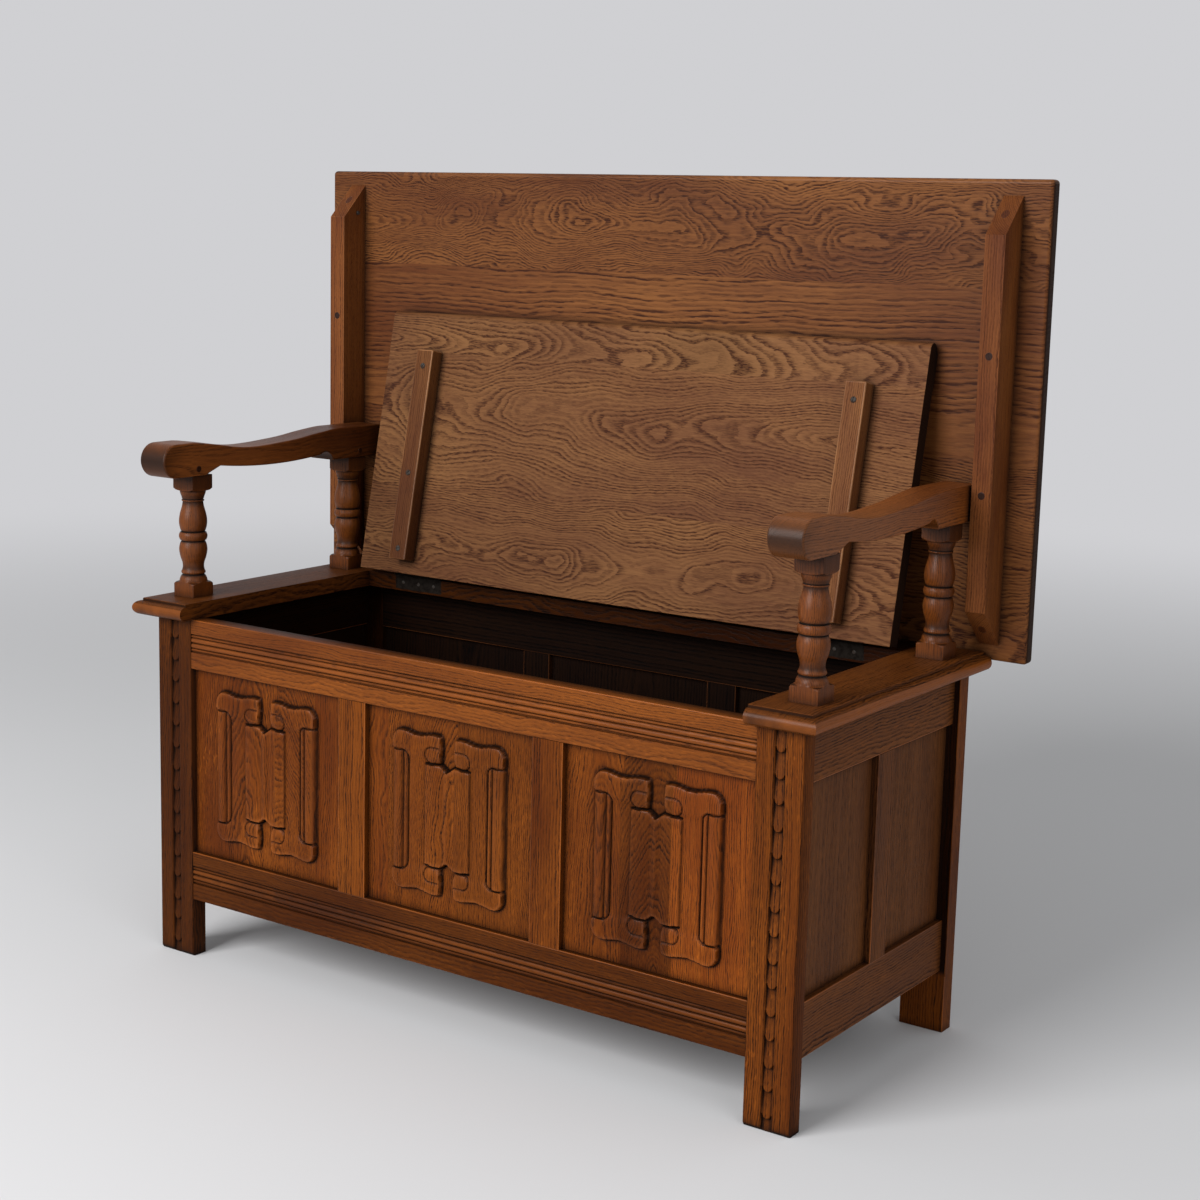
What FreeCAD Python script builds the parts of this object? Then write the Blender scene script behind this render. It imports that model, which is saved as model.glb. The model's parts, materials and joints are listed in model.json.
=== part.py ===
import FreeCAD, Part
import math
import os

# Settle bench with a chest seat and a table top that tips over onto the arms.
# Millimetres. X runs along the bench, Y to the rear, Z up. The origin is on the floor,
# under the middle of the bounding box. The seat lid stands open and the table top stands
# upright as the back, as in the photograph.

V = FreeCAD.Vector
X_AXIS = V(1, 0, 0)
Y_AXIS = V(0, 1, 0)
Z_AXIS = V(0, 0, 1)
SIDES = (("left", -1), ("right", 1))

# Chest
chest_width = 936.0
chest_depth = 390.0
leg_height = 441.0
leg_width = 57.0
front_leg_thick = 22.0
rear_leg_thick = 23.0
foot_round = 5.0

# Rails, muntins and panels
rail_thick = 22.0
rail_height = 63.0
bottom_rail_z = 76.0
front_rail_set_back = 1.0
side_rail_set_in = 7.0
muntin_width = 42.0
side_muntin_width = 37.0
side_muntin_from_front = 201.0
panels_across = 3
panel_thick = 8.0
panel_recess = 8.0
groove_depth = 6.0
groove_gap = 0.2
tenon_thick = 8.0
tenon_shoulder = 9.0
tenon_gap = 0.1

# Reeds run along the front rails
reed_band = 24.0
reed_sink = 3.0
reed_radius = 3.5

# Sunk channel with thumbnail gouges, down the middle of each front leg
channel_width = 12.5
channel_depth = 4.0
gouge_pitch = 28.0
gouge_length = 20.0
gouge_width = 9.0
gouge_rise = 3.2

# Linenfold carving, with half sizes from the middle of the figure
fold_half_width = 81.0
fold_half_height = 94.5
fold_shaft_outer = 58.0
fold_shaft_inner = 33.0
fold_cap_height = 33.0
fold_cap_gap = 11.4
fold_flare = 15.0
fold_rise = 4.8
roll_edge_rise = 6.0
roll_crown_rise = 7.8
centre_edge_rise = 6.8
centre_crown_rise = 8.0
centre_notch_width = 9.0
centre_notch_depth = 6.0

# Floor of the chest
floor_thick = 9.0
floor_strip = 16.0
floor_boards = 3
floor_gap = 0.5

# Capping boards and hinge rail
cap_thick = 21.0
cap_inner_overhang = 4.5
cap_side_overhang = 24.0
cap_front_overhang = 22.0
nose_bulge = 9.0
back_gap = 1.0

# Balusters
baluster_block = 35.0
base_block_height = 18.0
head_block_height = 20.0
turned_height = 117.0
block_chamfer = 3.0
collar_radius = 17.6
bead_radius = 15.6
neck_radius = 12.4
vase_radius = 17.3
waist_radius = 13.9
ring_radius = 17.4
front_baluster_y = 43.5
rear_baluster_y = 335.5

# Arms
arm_width = 42.5
arm_set_in = 40.0
arm_nose_radius = 21.3
arm_nose_y = -4.0
arm_dip = 12.5
arm_under_rise = 10.0
arm_under_sag = 6.0
notch_length = 24.0
peg_radius = 4.0
peg_length = 14.0

# Table top and its bearers
top_end_overhang = 65.5
top_depth = 551.0
top_thick = 19.0
top_edge_round = 5.0
top_joints = (231.0, 428.0)
top_below_cap = 9.5
top_behind_chest = 8.5
bearer_width = 24.5
bearer_depth = 44.0
bearer_length = 514.0
bearer_gap = 3.5
plug_radius = 4.5
plug_depth = 9.0
plug_spacing = 157.5
plugs_per_bearer = 4
plug_gap = 0.05
stud_radius = 2.5
stud_height = 2.6
stud_below_end = 38.0
stud_from_top = 16.5

# Pivot pins and the grooves that they run in
pin_radius = 5.0
pin_in_arm = 30.0
pin_in_bearer = 11.0
pin_fit = 0.08
groove_clearance = 0.3
slide_travel = 100.0

# Seat lid and its battens
lid_thick = 20.0
lid_rest_gap = 1.0
lid_side_gap = 3.5
lid_front_margin = 0.5
lid_nose_bulge = 8.5
lid_joints = (118.0, 300.0)
lid_lean_gap = 0.5
batten_width = 27.5
batten_thick = 21.5
batten_start = 18.0
batten_length = 283.0
batten_from_end = 79.0
batten_round = 4.0
batten_screws = (15.0, 117.0, 261.0)
screw_head_radius = 3.8
screw_head_thick = 1.6
screw_shank_radius = 1.8
screw_length = 33.0
screw_gap = 0.05

# Butt hinges
hinge_from_front = 333.0
hinge_from_end = 84.0
hinge_length = 79.0
leaf_height = 18.5
leaf_thick = 1.6
leaf_clearance = 0.2
knuckle_radius = 3.0
knuckle_lift = 0.3
knuckles = 5
knuckle_gap = 0.3
hinge_pin_radius = 1.4
hinge_pin_fit = 0.08
hinge_screw_radius = 2.4
hinge_screw_length = 14.0
hinge_screws = 3

# Places that follow from the sizes
arm_reach = arm_nose_radius - arm_nose_y
front_y = arm_reach - (arm_reach + chest_depth + top_behind_chest + top_thick) / 2
back_y = front_y + chest_depth
table_face_y = back_y + top_behind_chest
cap_rear_y = table_face_y - back_gap
leg_outer_x = chest_width / 2
leg_inner_x = leg_outer_x - leg_width
cap_inner_x = leg_inner_x - cap_inner_overhang
arm_inner_x = leg_outer_x - arm_set_in
arm_outer_x = arm_inner_x + arm_width
bearer_inner_x = arm_outer_x + bearer_gap
top_width = chest_width + 2 * top_end_overhang
rear_leg_y = back_y - rear_leg_thick
front_leg_back_y = front_y + front_leg_thick
top_rail_z = leg_height - rail_height
bottom_rail_top = bottom_rail_z + rail_height
cap_top_z = leg_height + cap_thick
cap_outer_x = leg_outer_x + cap_side_overhang
side_outer_x = leg_outer_x - side_rail_set_in
side_inner_x = side_outer_x - rail_thick
rail_front_y = front_y + front_rail_set_back
rail_back_y = rail_front_y + rail_thick
back_rail_y = back_y - rail_thick
panel_pitch = (2 * leg_inner_x + muntin_width) / panels_across
panel_width = panel_pitch - muntin_width
front_panel_y = rail_front_y + panel_recess
back_panel_y = back_rail_y + panel_recess
side_panel_x = side_outer_x - panel_recess - panel_thick
side_tenon = front_leg_thick / 2
front_tenon = leg_width * 0.45
muntin_tenon = rail_height / 3
arm_low_z = cap_top_z + base_block_height + turned_height + head_block_height
arm_top_z = arm_low_z + 2 * arm_nose_radius
pin_y = table_face_y - bearer_depth / 2
pin_z = arm_low_z + arm_nose_radius
table_low_z = cap_top_z - top_below_cap
bearer_low_z = table_low_z + (top_depth - bearer_length) / 2
hinge_y = front_y + hinge_from_front
hinge_z = cap_top_z + knuckle_lift + knuckle_radius
lid_half_x = cap_inner_x - lid_side_gap
batten_x = lid_half_x - batten_from_end
hinge_x = lid_half_x - hinge_from_end
lid_low_z = leg_height + lid_rest_gap
lid_top_z = lid_low_z + lid_thick
lid_rear_y = hinge_y - leaf_clearance
lid_front_y = front_y - cap_front_overhang + lid_front_margin
lid_reach = hinge_y - lid_front_y - lid_nose_bulge
lid_lean_room = table_face_y - lid_lean_gap - hinge_y
lid_top_drop = hinge_z - lid_top_z
lid_lean = math.degrees(
    math.asin(lid_lean_room / math.hypot(lid_reach, lid_top_drop))
    + math.atan2(lid_top_drop, lid_reach))


def box(x0, x1, y0, y1, z0, z1):
    return Part.makeBox(x1 - x0, y1 - y0, z1 - z0, V(x0, y0, z0))


def mirrored(shape, side):
    if side > 0:
        return shape
    return shape.mirror(V(0, 0, 0), X_AXIS)


def tenoned(x0, x1, y0, y1, z0, z1, axis, tenon):
    """A rail or muntin with a tenon at each end along the axis, and what cuts its mortises."""
    low = [x0, y0, z0]
    high = [x1, y1, z1]
    body = box(x0, x1, y0, y1, z0, z1)
    tongue_low = list(low)
    tongue_high = list(high)
    tongue_low[axis] = low[axis] - tenon
    tongue_high[axis] = high[axis] + tenon
    thin = min((i for i in range(3) if i != axis), key=lambda i: high[i] - low[i])
    wide = 3 - axis - thin
    middle = (low[thin] + high[thin]) / 2
    tongue_low[thin] = middle - tenon_thick / 2
    tongue_high[thin] = middle + tenon_thick / 2
    tongue_low[wide] = low[wide] + tenon_shoulder
    tongue_high[wide] = high[wide] - tenon_shoulder
    tongue = box(tongue_low[0], tongue_high[0], tongue_low[1], tongue_high[1],
                 tongue_low[2], tongue_high[2])
    grown = box(tongue_low[0] - tenon_gap, tongue_high[0] + tenon_gap,
                tongue_low[1] - tenon_gap, tongue_high[1] + tenon_gap,
                tongue_low[2] - tenon_gap, tongue_high[2] + tenon_gap)
    return body.fuse(tongue).removeSplitter(), grown


def panel_board(x0, x1, y0, y1, z0, z1, axis):
    """A board that reaches into the grooves round it, and what cuts those grooves."""
    reach = groove_depth - groove_gap
    low = [x0, y0, z0]
    high = [x1, y1, z1]
    for i in range(3):
        if i != axis:
            low[i] -= reach
            high[i] += reach
    board = box(low[0], high[0], low[1], high[1], low[2], high[2])
    groove = box(low[0] - groove_gap, high[0] + groove_gap, low[1] - groove_gap,
                 high[1] + groove_gap, low[2] - groove_gap, high[2] + groove_gap)
    return board, groove


def arc(start, middle, end):
    return Part.Arc(start, middle, end).toShape()


def line(start, end):
    return Part.makeLine(start, end)


def prism(edges, direction):
    return Part.Face(Part.Wire(edges)).extrude(direction)


def polygon_prism(points, direction):
    return Part.Face(Part.makePolygon(points + points[:1])).extrude(direction)


def reeded(rail, z_middle):
    """Sinks a band in the front of a rail and leaves two reeds in it."""
    half = reed_band / 2
    sink = box(-leg_inner_x - 1, leg_inner_x + 1, rail_front_y - 1, rail_front_y + reed_sink,
               z_middle - half, z_middle + half)
    sink = sink.common(box(-leg_inner_x, leg_inner_x, rail_front_y - 1, rail_back_y,
                           z_middle - half, z_middle + half))
    rail = rail.cut(sink)
    for step in (-1, 1):
        axis_z = z_middle + step * reed_radius
        reed = Part.makeCylinder(reed_radius, 2 * leg_inner_x,
                                 V(-leg_inner_x, rail_front_y + reed_radius, axis_z), X_AXIS)
        rail = rail.fuse(reed)
    return rail.removeSplitter()


def thumbnail(x_middle, z_low):
    """A tongue in the leg's channel: it rises from the bed and ends in a round lip below."""
    bed_y = front_y + channel_depth
    radius = gouge_width / 2
    plan = Part.Wire([
        arc(V(x_middle - radius, 0, z_low + radius), V(x_middle, 0, z_low),
            V(x_middle + radius, 0, z_low + radius)),
        line(V(x_middle + radius, 0, z_low + radius),
             V(x_middle + radius, 0, z_low + gouge_length)),
        line(V(x_middle + radius, 0, z_low + gouge_length),
             V(x_middle - radius, 0, z_low + gouge_length)),
        line(V(x_middle - radius, 0, z_low + gouge_length),
             V(x_middle - radius, 0, z_low + radius))])
    pad = Part.Face(plan).extrude(V(0, gouge_rise * 2, 0))
    pad.translate(V(0, bed_y - gouge_rise, 0))
    wedge = polygon_prism([V(x_middle - radius, bed_y + 1, z_low),
                           V(x_middle - radius, bed_y - gouge_rise, z_low),
                           V(x_middle - radius, bed_y, z_low + gouge_length),
                           V(x_middle - radius, bed_y + 1, z_low + gouge_length)],
                          V(gouge_width, 0, 0))
    return pad.common(wedge)


def front_leg(side):
    x0, x1 = sorted((side * leg_inner_x, side * leg_outer_x))
    leg = box(x0, x1, front_y, front_leg_back_y, 0, leg_height)
    low_edges = [e for e in leg.Edges if e.BoundBox.ZMax < 0.01]
    leg = leg.makeFillet(foot_round, low_edges)
    middle = (x0 + x1) / 2
    leg = leg.cut(box(middle - channel_width / 2, middle + channel_width / 2,
                      front_y - 1, front_y + channel_depth, -1, leg_height + 1))
    count = int((leg_height - gouge_pitch) / gouge_pitch)
    for i in range(count):
        leg = leg.fuse(thumbnail(middle, leg_height - gouge_pitch * (i + 1)))
    return leg


def rear_leg(side):
    x0, x1 = sorted((side * leg_inner_x, side * leg_outer_x))
    leg = box(x0, x1, rear_leg_y, back_y, 0, leg_height)
    low_edges = [e for e in leg.Edges if e.BoundBox.ZMax < 0.01]
    return leg.makeFillet(foot_round, low_edges)


def side_fold(x_middle, z_middle, side):
    """One outer fold of the linenfold figure: a shaft with a flared cap at each end."""
    inner = fold_cap_gap
    cap_low = fold_half_height - fold_cap_height
    flare_z = fold_half_height - fold_flare
    bend = fold_half_width - fold_shaft_outer

    def at(x, z):
        return V(x_middle + side * x, front_panel_y + 1, z_middle + z)

    slope = bend * (1 - math.cos(math.radians(45)))
    turn = bend * math.sin(math.radians(45))
    edges = [line(at(inner, fold_half_height), at(fold_half_width, fold_half_height)),
             line(at(fold_half_width, fold_half_height), at(fold_half_width, flare_z)),
             arc(at(fold_half_width, flare_z), at(fold_half_width - turn, flare_z - slope),
                 at(fold_shaft_outer, flare_z - bend)),
             line(at(fold_shaft_outer, flare_z - bend), at(fold_shaft_outer, bend - flare_z)),
             arc(at(fold_shaft_outer, bend - flare_z),
                 at(fold_half_width - turn, slope - flare_z), at(fold_half_width, -flare_z)),
             line(at(fold_half_width, -flare_z), at(fold_half_width, -fold_half_height)),
             line(at(fold_half_width, -fold_half_height), at(inner, -fold_half_height)),
             line(at(inner, -fold_half_height), at(inner, -cap_low)),
             line(at(inner, -cap_low), at(fold_shaft_inner, -cap_low)),
             line(at(fold_shaft_inner, -cap_low), at(fold_shaft_inner, cap_low)),
             line(at(fold_shaft_inner, cap_low), at(inner, cap_low)),
             line(at(inner, cap_low), at(inner, fold_half_height))]
    return prism(edges, V(0, -fold_rise - 1, 0))


def crowned_bar(x_middle, width, edge_rise, crown_rise, z0, z1):
    """An upright bar on the face of the panel, with steep sides and a bowed front."""
    x0 = x_middle - width / 2
    x1 = x_middle + width / 2
    root_y = front_panel_y + 1
    edge_y = front_panel_y - edge_rise
    section = Part.Wire([
        arc(V(x0, edge_y, z0), V(x_middle, front_panel_y - crown_rise, z0), V(x1, edge_y, z0)),
        line(V(x1, edge_y, z0), V(x1, root_y, z0)),
        line(V(x1, root_y, z0), V(x0, root_y, z0)),
        line(V(x0, root_y, z0), V(x0, edge_y, z0))])
    return Part.Face(section).extrude(V(0, 0, z1 - z0))


def centre_fold(x_middle, z_middle):
    """The middle fold: its top edge hangs in a point, and its foot is cut up in another."""
    end = fold_half_height - fold_cap_height
    bar = crowned_bar(x_middle, 2 * fold_shaft_inner, centre_edge_rise, centre_crown_rise,
                      z_middle - end, z_middle + end)
    for z, turn in ((end, -1), (-end, 1)):
        notch = polygon_prism(
            [V(x_middle - centre_notch_width, front_panel_y, z_middle + z),
             V(x_middle, front_panel_y, z_middle + z + turn * centre_notch_depth),
             V(x_middle + centre_notch_width, front_panel_y, z_middle + z)],
            V(0, -centre_crown_rise - 1, 0))
        bar = bar.cut(notch)
    return bar


def linenfold(board, x_middle):
    """Carves the folds on the face of a panel: outer folds, rolled edges and middle fold."""
    z_middle = (bottom_rail_top + top_rail_z) / 2
    roll_width = fold_half_width - fold_shaft_outer
    roll_end = fold_half_height - fold_flare
    for side in (-1, 1):
        board = board.fuse(side_fold(x_middle, z_middle, side))
        roll = crowned_bar(x_middle + side * (fold_shaft_outer + roll_width / 2), roll_width,
                           roll_edge_rise, roll_crown_rise,
                           z_middle - roll_end, z_middle + roll_end)
        board = board.fuse(roll)
    return board.fuse(centre_fold(x_middle, z_middle)).removeSplitter()


def front_and_back_frames():
    """Rails, muntins and panels of the front and the back, between the legs."""
    parts = {}
    cutters = []
    for name, y0, y1 in (("front", rail_front_y, rail_back_y), ("back", back_rail_y, back_y)):
        for level, z0 in (("top", top_rail_z), ("bottom", bottom_rail_z)):
            rail, mortise = tenoned(-leg_inner_x, leg_inner_x, y0, y1, z0, z0 + rail_height,
                                    0, front_tenon)
            if name == "front":
                rail = reeded(rail, z0 + rail_height / 2 + 1.5)
            parts[f"{name}_{level}_rail"] = rail
            cutters.append(mortise)
        muntin_names = ("left", "right")
        for i in range(panels_across - 1):
            x0 = -leg_inner_x + panel_width + i * panel_pitch
            muntin, mortise = tenoned(x0, x0 + muntin_width, y0, y1, bottom_rail_top, top_rail_z,
                                      2, muntin_tenon)
            parts[f"{name}_muntin_{muntin_names[i]}"] = muntin
            cutters.append(mortise)
    panel_names = ("left", "middle", "right")
    for i in range(panels_across):
        x0 = -leg_inner_x + i * panel_pitch
        for name, y0 in (("carved", front_panel_y), ("back", back_panel_y)):
            board, groove = panel_board(x0, x0 + panel_width, y0, y0 + panel_thick,
                                        bottom_rail_top, top_rail_z, 1)
            if name == "carved":
                board = linenfold(board, x0 + panel_width / 2)
            parts[f"{name}_panel_{panel_names[i]}"] = board
            cutters.append(groove)
    return parts, cutters


def side_frames():
    """Rails, muntin and panels of each side, between the front leg and the rear leg."""
    parts = {}
    cutters = []
    middle_y = front_y + side_muntin_from_front
    for name, side in SIDES:
        x0, x1 = sorted((side * side_inner_x, side * side_outer_x))
        for level, z0 in (("top", top_rail_z), ("bottom", bottom_rail_z)):
            rail, mortise = tenoned(x0, x1, front_leg_back_y, rear_leg_y, z0, z0 + rail_height,
                                    1, side_tenon)
            parts[f"side_{level}_rail_{name}"] = rail
            cutters.append(mortise)
        muntin, mortise = tenoned(x0, x1, middle_y - side_muntin_width / 2,
                                  middle_y + side_muntin_width / 2, bottom_rail_top, top_rail_z,
                                  2, muntin_tenon)
        parts[f"side_muntin_{name}"] = muntin
        cutters.append(mortise)
        p0, p1 = sorted((side * side_panel_x, side * (side_panel_x + panel_thick)))
        for place, y0, y1 in (("front", front_leg_back_y, middle_y - side_muntin_width / 2),
                              ("rear", middle_y + side_muntin_width / 2, rear_leg_y)):
            board, groove = panel_board(p0, p1, y0, y1, bottom_rail_top, top_rail_z, 0)
            parts[f"side_panel_{place}_{name}"] = board
            cutters.append(groove)
    return parts, cutters


def cut_joints(parts, cutters):
    """Cuts the mortises and grooves from every member that holds another one."""
    members = [name for name in parts if "panel" not in name]
    for name in members:
        shape = parts[name]
        for cutter in cutters:
            if not shape.BoundBox.intersect(cutter.BoundBox):
                continue
            own = shape.common(cutter)
            if own.Volume < 1 or is_own_tenon(name, shape, cutter):
                continue
            shape = shape.cut(cutter)
        parts[name] = shape


def is_own_tenon(name, shape, cutter):
    """A mortise cutter encloses its own member's tenons, and passes right through its body."""
    if "leg" in name:
        return False
    inside = cutter.BoundBox
    outer = shape.BoundBox
    along = max(range(3), key=lambda i: (outer.XLength, outer.YLength, outer.ZLength)[i])
    low = (inside.XMin, inside.YMin, inside.ZMin)[along]
    high = (inside.XMax, inside.YMax, inside.ZMax)[along]
    body_low = (outer.XMin, outer.YMin, outer.ZMin)[along]
    body_high = (outer.XMax, outer.YMax, outer.ZMax)[along]
    return low < body_low and high > body_high


def chest_floor():
    """Strips along the front and back bottom rails, and the boards that lie on them."""
    strip_z = bottom_rail_z + rail_height / 4
    strips = [box(-leg_inner_x, leg_inner_x, y0, y0 + floor_strip,
                  strip_z, strip_z + floor_strip)
              for y0 in (rail_back_y, back_rail_y - floor_strip)]
    deck_z = strip_z + floor_strip
    y0 = max(rail_back_y, front_leg_back_y) + floor_gap
    y1 = min(back_rail_y, rear_leg_y) - floor_gap
    width = (y1 - y0) / floor_boards
    boards = [box(-side_inner_x + floor_gap, side_inner_x - floor_gap,
                  y0 + i * width, y0 + (i + 1) * width - floor_gap, deck_z, deck_z + floor_thick)
              for i in range(floor_boards)]
    return strips, boards


def nosed_section(across, up, depth, thick, bulge):
    """Section of a board whose far edge has a round nose under a small step."""
    nose = 2 * bulge
    flat = depth - bulge

    def at(a, b):
        return across * a + up * b

    return [line(at(0, 0), at(flat, 0)),
            arc(at(flat, 0), at(depth, bulge), at(flat, nose)),
            line(at(flat, nose), at(flat, thick)),
            line(at(flat, thick), at(0, thick)),
            line(at(0, thick), at(0, 0))]


def capping():
    """Right capping board, moulded on its front and outer edges."""
    length = cap_rear_y - (front_y - cap_front_overhang)
    width = cap_outer_x - cap_inner_x
    along = prism(nosed_section(X_AXIS, Z_AXIS, width, cap_thick, nose_bulge), V(0, length, 0))
    along.translate(V(cap_inner_x, cap_rear_y - length, leg_height))
    across = prism(nosed_section(-Y_AXIS, Z_AXIS, length, cap_thick, nose_bulge), V(width, 0, 0))
    across.translate(V(cap_inner_x, cap_rear_y, leg_height))
    return along.common(across)


def turned_edges():
    """Outline of the turned shaft: one half from its foot up to the ring, then its mirror."""
    foot = -turned_height / 2
    edge = collar_radius - 2

    def at(r, z):
        return V(r, 0, z)

    half = [line(at(edge, foot), at(edge, foot + 2)),
            arc(at(edge, foot + 2), at(collar_radius, foot + 5.5), at(edge, foot + 9)),
            line(at(edge, foot + 9), at(bead_radius - 1, foot + 9)),
            line(at(bead_radius - 1, foot + 9), at(bead_radius - 1, foot + 10)),
            arc(at(bead_radius - 1, foot + 10), at(bead_radius, foot + 12.5),
                at(bead_radius - 1.6, foot + 15)),
            arc(at(bead_radius - 1.6, foot + 15), at(neck_radius, foot + 18.5),
                at(neck_radius + 0.5, foot + 22.5)),
            arc(at(neck_radius + 0.5, foot + 22.5), at(vase_radius, foot + 37),
                at(waist_radius, foot + 50.5)),
            line(at(waist_radius, foot + 50.5), at(waist_radius, foot + 53)),
            line(at(waist_radius, foot + 53), at(ring_radius - 2, foot + 53))]
    ring = arc(at(ring_radius - 2, foot + 53), at(ring_radius, 0), at(ring_radius - 2, -foot - 53))
    upper = [edge_piece.mirror(V(0, 0, 0), Z_AXIS) for edge_piece in half]
    closing = [line(at(0, foot), at(edge, foot)), line(at(edge, -foot), at(0, -foot)),
               line(at(0, -foot), at(0, foot))]
    return half + [ring] + upper + closing


def baluster(x_middle, y_middle):
    """Turned baluster with a square block at each end."""
    half = baluster_block / 2
    shaft_z = cap_top_z + base_block_height + turned_height / 2
    shaft = Part.Face(Part.Wire(Part.__sortEdges__(turned_edges()))).revolve(
        V(0, 0, 0), Z_AXIS, 360)
    shaft.translate(V(x_middle, y_middle, shaft_z))
    base = box(x_middle - half, x_middle + half, y_middle - half, y_middle + half,
               cap_top_z, cap_top_z + base_block_height)
    upper_edges = [e for e in base.Edges if e.BoundBox.ZMin > cap_top_z + base_block_height - 0.01]
    base = base.makeChamfer(block_chamfer / 2, upper_edges)
    head_z = arm_low_z - head_block_height
    head = box(x_middle - half, x_middle + half, y_middle - half, y_middle + half,
               head_z, arm_low_z)
    lower_edges = [e for e in head.Edges if e.BoundBox.ZMax < head_z + 0.01]
    head = head.makeChamfer(block_chamfer, lower_edges)
    return base.fuse([shaft, head]).removeSplitter()


def arm():
    """Right arm: rolled front, dipped middle, and a round end about the pivot pin."""
    r = arm_nose_radius
    low = arm_low_z
    top = arm_top_z
    block = baluster_block / 2
    nose_y = front_y + arm_nose_y
    flat_end = front_y + front_baluster_y
    under_start = front_y + front_baluster_y + block + 12
    notch_end = front_y + rear_baluster_y - block - 34
    notch_start = notch_end - notch_length
    middle = (under_start + notch_start) / 2
    dip_y = (flat_end + notch_end) / 2

    def at(y, z):
        return V(arm_inner_x, y, z)

    top_curve = Part.BSplineCurve()
    top_curve.interpolate([at(flat_end - 18, top), at(flat_end + 14, top - arm_dip * 0.3),
                           at(dip_y - 40, top - arm_dip), at(dip_y + 40, top - arm_dip * 0.75),
                           at(notch_end - 30, top - arm_dip * 0.3), at(notch_end + 12, top)],
                          False)
    edges = [arc(at(nose_y, low), at(nose_y - r, low + r), at(nose_y, top)),
             line(at(nose_y, top), at(flat_end - 18, top)),
             top_curve.toShape(),
             line(at(notch_end + 12, top), at(pin_y, top)),
             arc(at(pin_y, top), at(pin_y + r, low + r), at(pin_y, low)),
             line(at(pin_y, low), at(notch_end, low)),
             arc(at(notch_end, low), at((notch_start + notch_end) / 2, low + arm_under_rise + 2),
                 at(notch_start, low + arm_under_rise - 1)),
             arc(at(notch_start, low + arm_under_rise - 1),
                 at(middle, low + arm_under_rise - arm_under_sag),
                 at(under_start, low + arm_under_rise)),
             arc(at(under_start, low + arm_under_rise), at(under_start - 12, low + 6),
                 at(flat_end + block - 14, low)),
             line(at(flat_end + block - 14, low), at(nose_y, low))]
    blank = prism(edges, V(arm_width, 0, 0))
    bore = Part.makeCylinder(pin_radius + pin_fit, pin_in_arm + 1,
                             V(arm_outer_x - pin_in_arm, pin_y, pin_z), X_AXIS)
    return blank.cut(bore)


def arm_pegs():
    """Wood pegs that hold the balusters' heads, flush with the arm's inner face."""
    pegs = []
    for _, side in SIDES:
        for y in (front_baluster_y - 10, rear_baluster_y + 2):
            peg = Part.makeCylinder(peg_radius, peg_length,
                                    V(arm_inner_x, front_y + y, arm_low_z + 9), X_AXIS)
            pegs.append(mirrored(peg, side))
    return pegs


def table_boards():
    """The table top standing on edge, cut into its glued boards from the bottom up."""
    slab = box(-top_width / 2, top_width / 2, table_face_y, table_face_y + top_thick,
               table_low_z, table_low_z + top_depth)
    slab = slab.makeFillet(top_edge_round, [e for e in slab.Edges])
    levels = (0.0,) + top_joints + (top_depth,)
    return [slab.common(box(-top_width, top_width, table_face_y - 1, table_face_y + top_thick + 1,
                            table_low_z + levels[i], table_low_z + levels[i + 1]))
            for i in range(len(levels) - 1)]


def bearer_blank():
    """Right bearer before its pockets are cut: a batten with chamfered ends."""
    face = table_face_y - bearer_depth
    high = bearer_low_z + bearer_length
    return polygon_prism([V(bearer_inner_x, table_face_y, bearer_low_z),
                          V(bearer_inner_x, face, bearer_low_z + bearer_depth),
                          V(bearer_inner_x, face, high - bearer_depth),
                          V(bearer_inner_x, table_face_y, high)], V(bearer_width, 0, 0))


def bearer_face_y(z):
    """Where the front of a bearer lies at this height: on its face or on a chamfer."""
    face = table_face_y - bearer_depth
    from_end = min(z - bearer_low_z, bearer_low_z + bearer_length - z)
    return face + max(0.0, bearer_depth - from_end)


def bearer_pieces():
    """Right bearer with its groove and pockets, its plugs, and its stud."""
    blank = bearer_blank()
    half = pin_radius + groove_clearance
    deep = pin_in_bearer + 2
    groove = box(bearer_inner_x - 1, bearer_inner_x + deep, pin_y - half, pin_y + half,
                 pin_z - slide_travel, pin_z)
    for z in (pin_z, pin_z - slide_travel):
        groove = groove.fuse(Part.makeCylinder(half, deep + 1,
                                               V(bearer_inner_x - 1, pin_y, z), X_AXIS))
    bearer = blank.cut(groove)
    plugs = []
    middle_z = bearer_low_z + bearer_length / 2
    for i in range(plugs_per_bearer):
        z = middle_z + (i - (plugs_per_bearer - 1) / 2) * plug_spacing
        start = bearer_face_y(z - plug_radius) if z < middle_z else bearer_face_y(z + plug_radius)
        reach = start - (table_face_y - bearer_depth) + plug_depth
        foot = V(bearer_inner_x + bearer_width / 2, table_face_y - bearer_depth, z)
        plugs.append(Part.makeCylinder(plug_radius, reach, foot, Y_AXIS).common(blank))
        bearer = bearer.cut(Part.makeCylinder(plug_radius + plug_gap, reach, foot, Y_AXIS))
    stud_z = bearer_low_z + bearer_length - stud_below_end
    stud_y = table_face_y - stud_from_top
    stud = Part.makeCylinder(stud_radius, stud_height + 4,
                             V(bearer_inner_x - stud_height, stud_y, stud_z), X_AXIS)
    bearer = bearer.cut(Part.makeCylinder(stud_radius + plug_gap, 4 + plug_gap,
                                          V(bearer_inner_x, stud_y, stud_z), X_AXIS))
    return bearer, plugs, stud


def pivot_pin():
    length = pin_in_arm + bearer_gap + pin_in_bearer
    return Part.makeCylinder(pin_radius, length, V(arm_outer_x - pin_in_arm, pin_y, pin_z), X_AXIS)


def opened(shape):
    """Turns a piece of the closed lid about the hinge pins to where the lid leans."""
    shape.rotate(V(0, hinge_y, hinge_z), X_AXIS, -(90 + lid_lean))
    return shape


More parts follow.
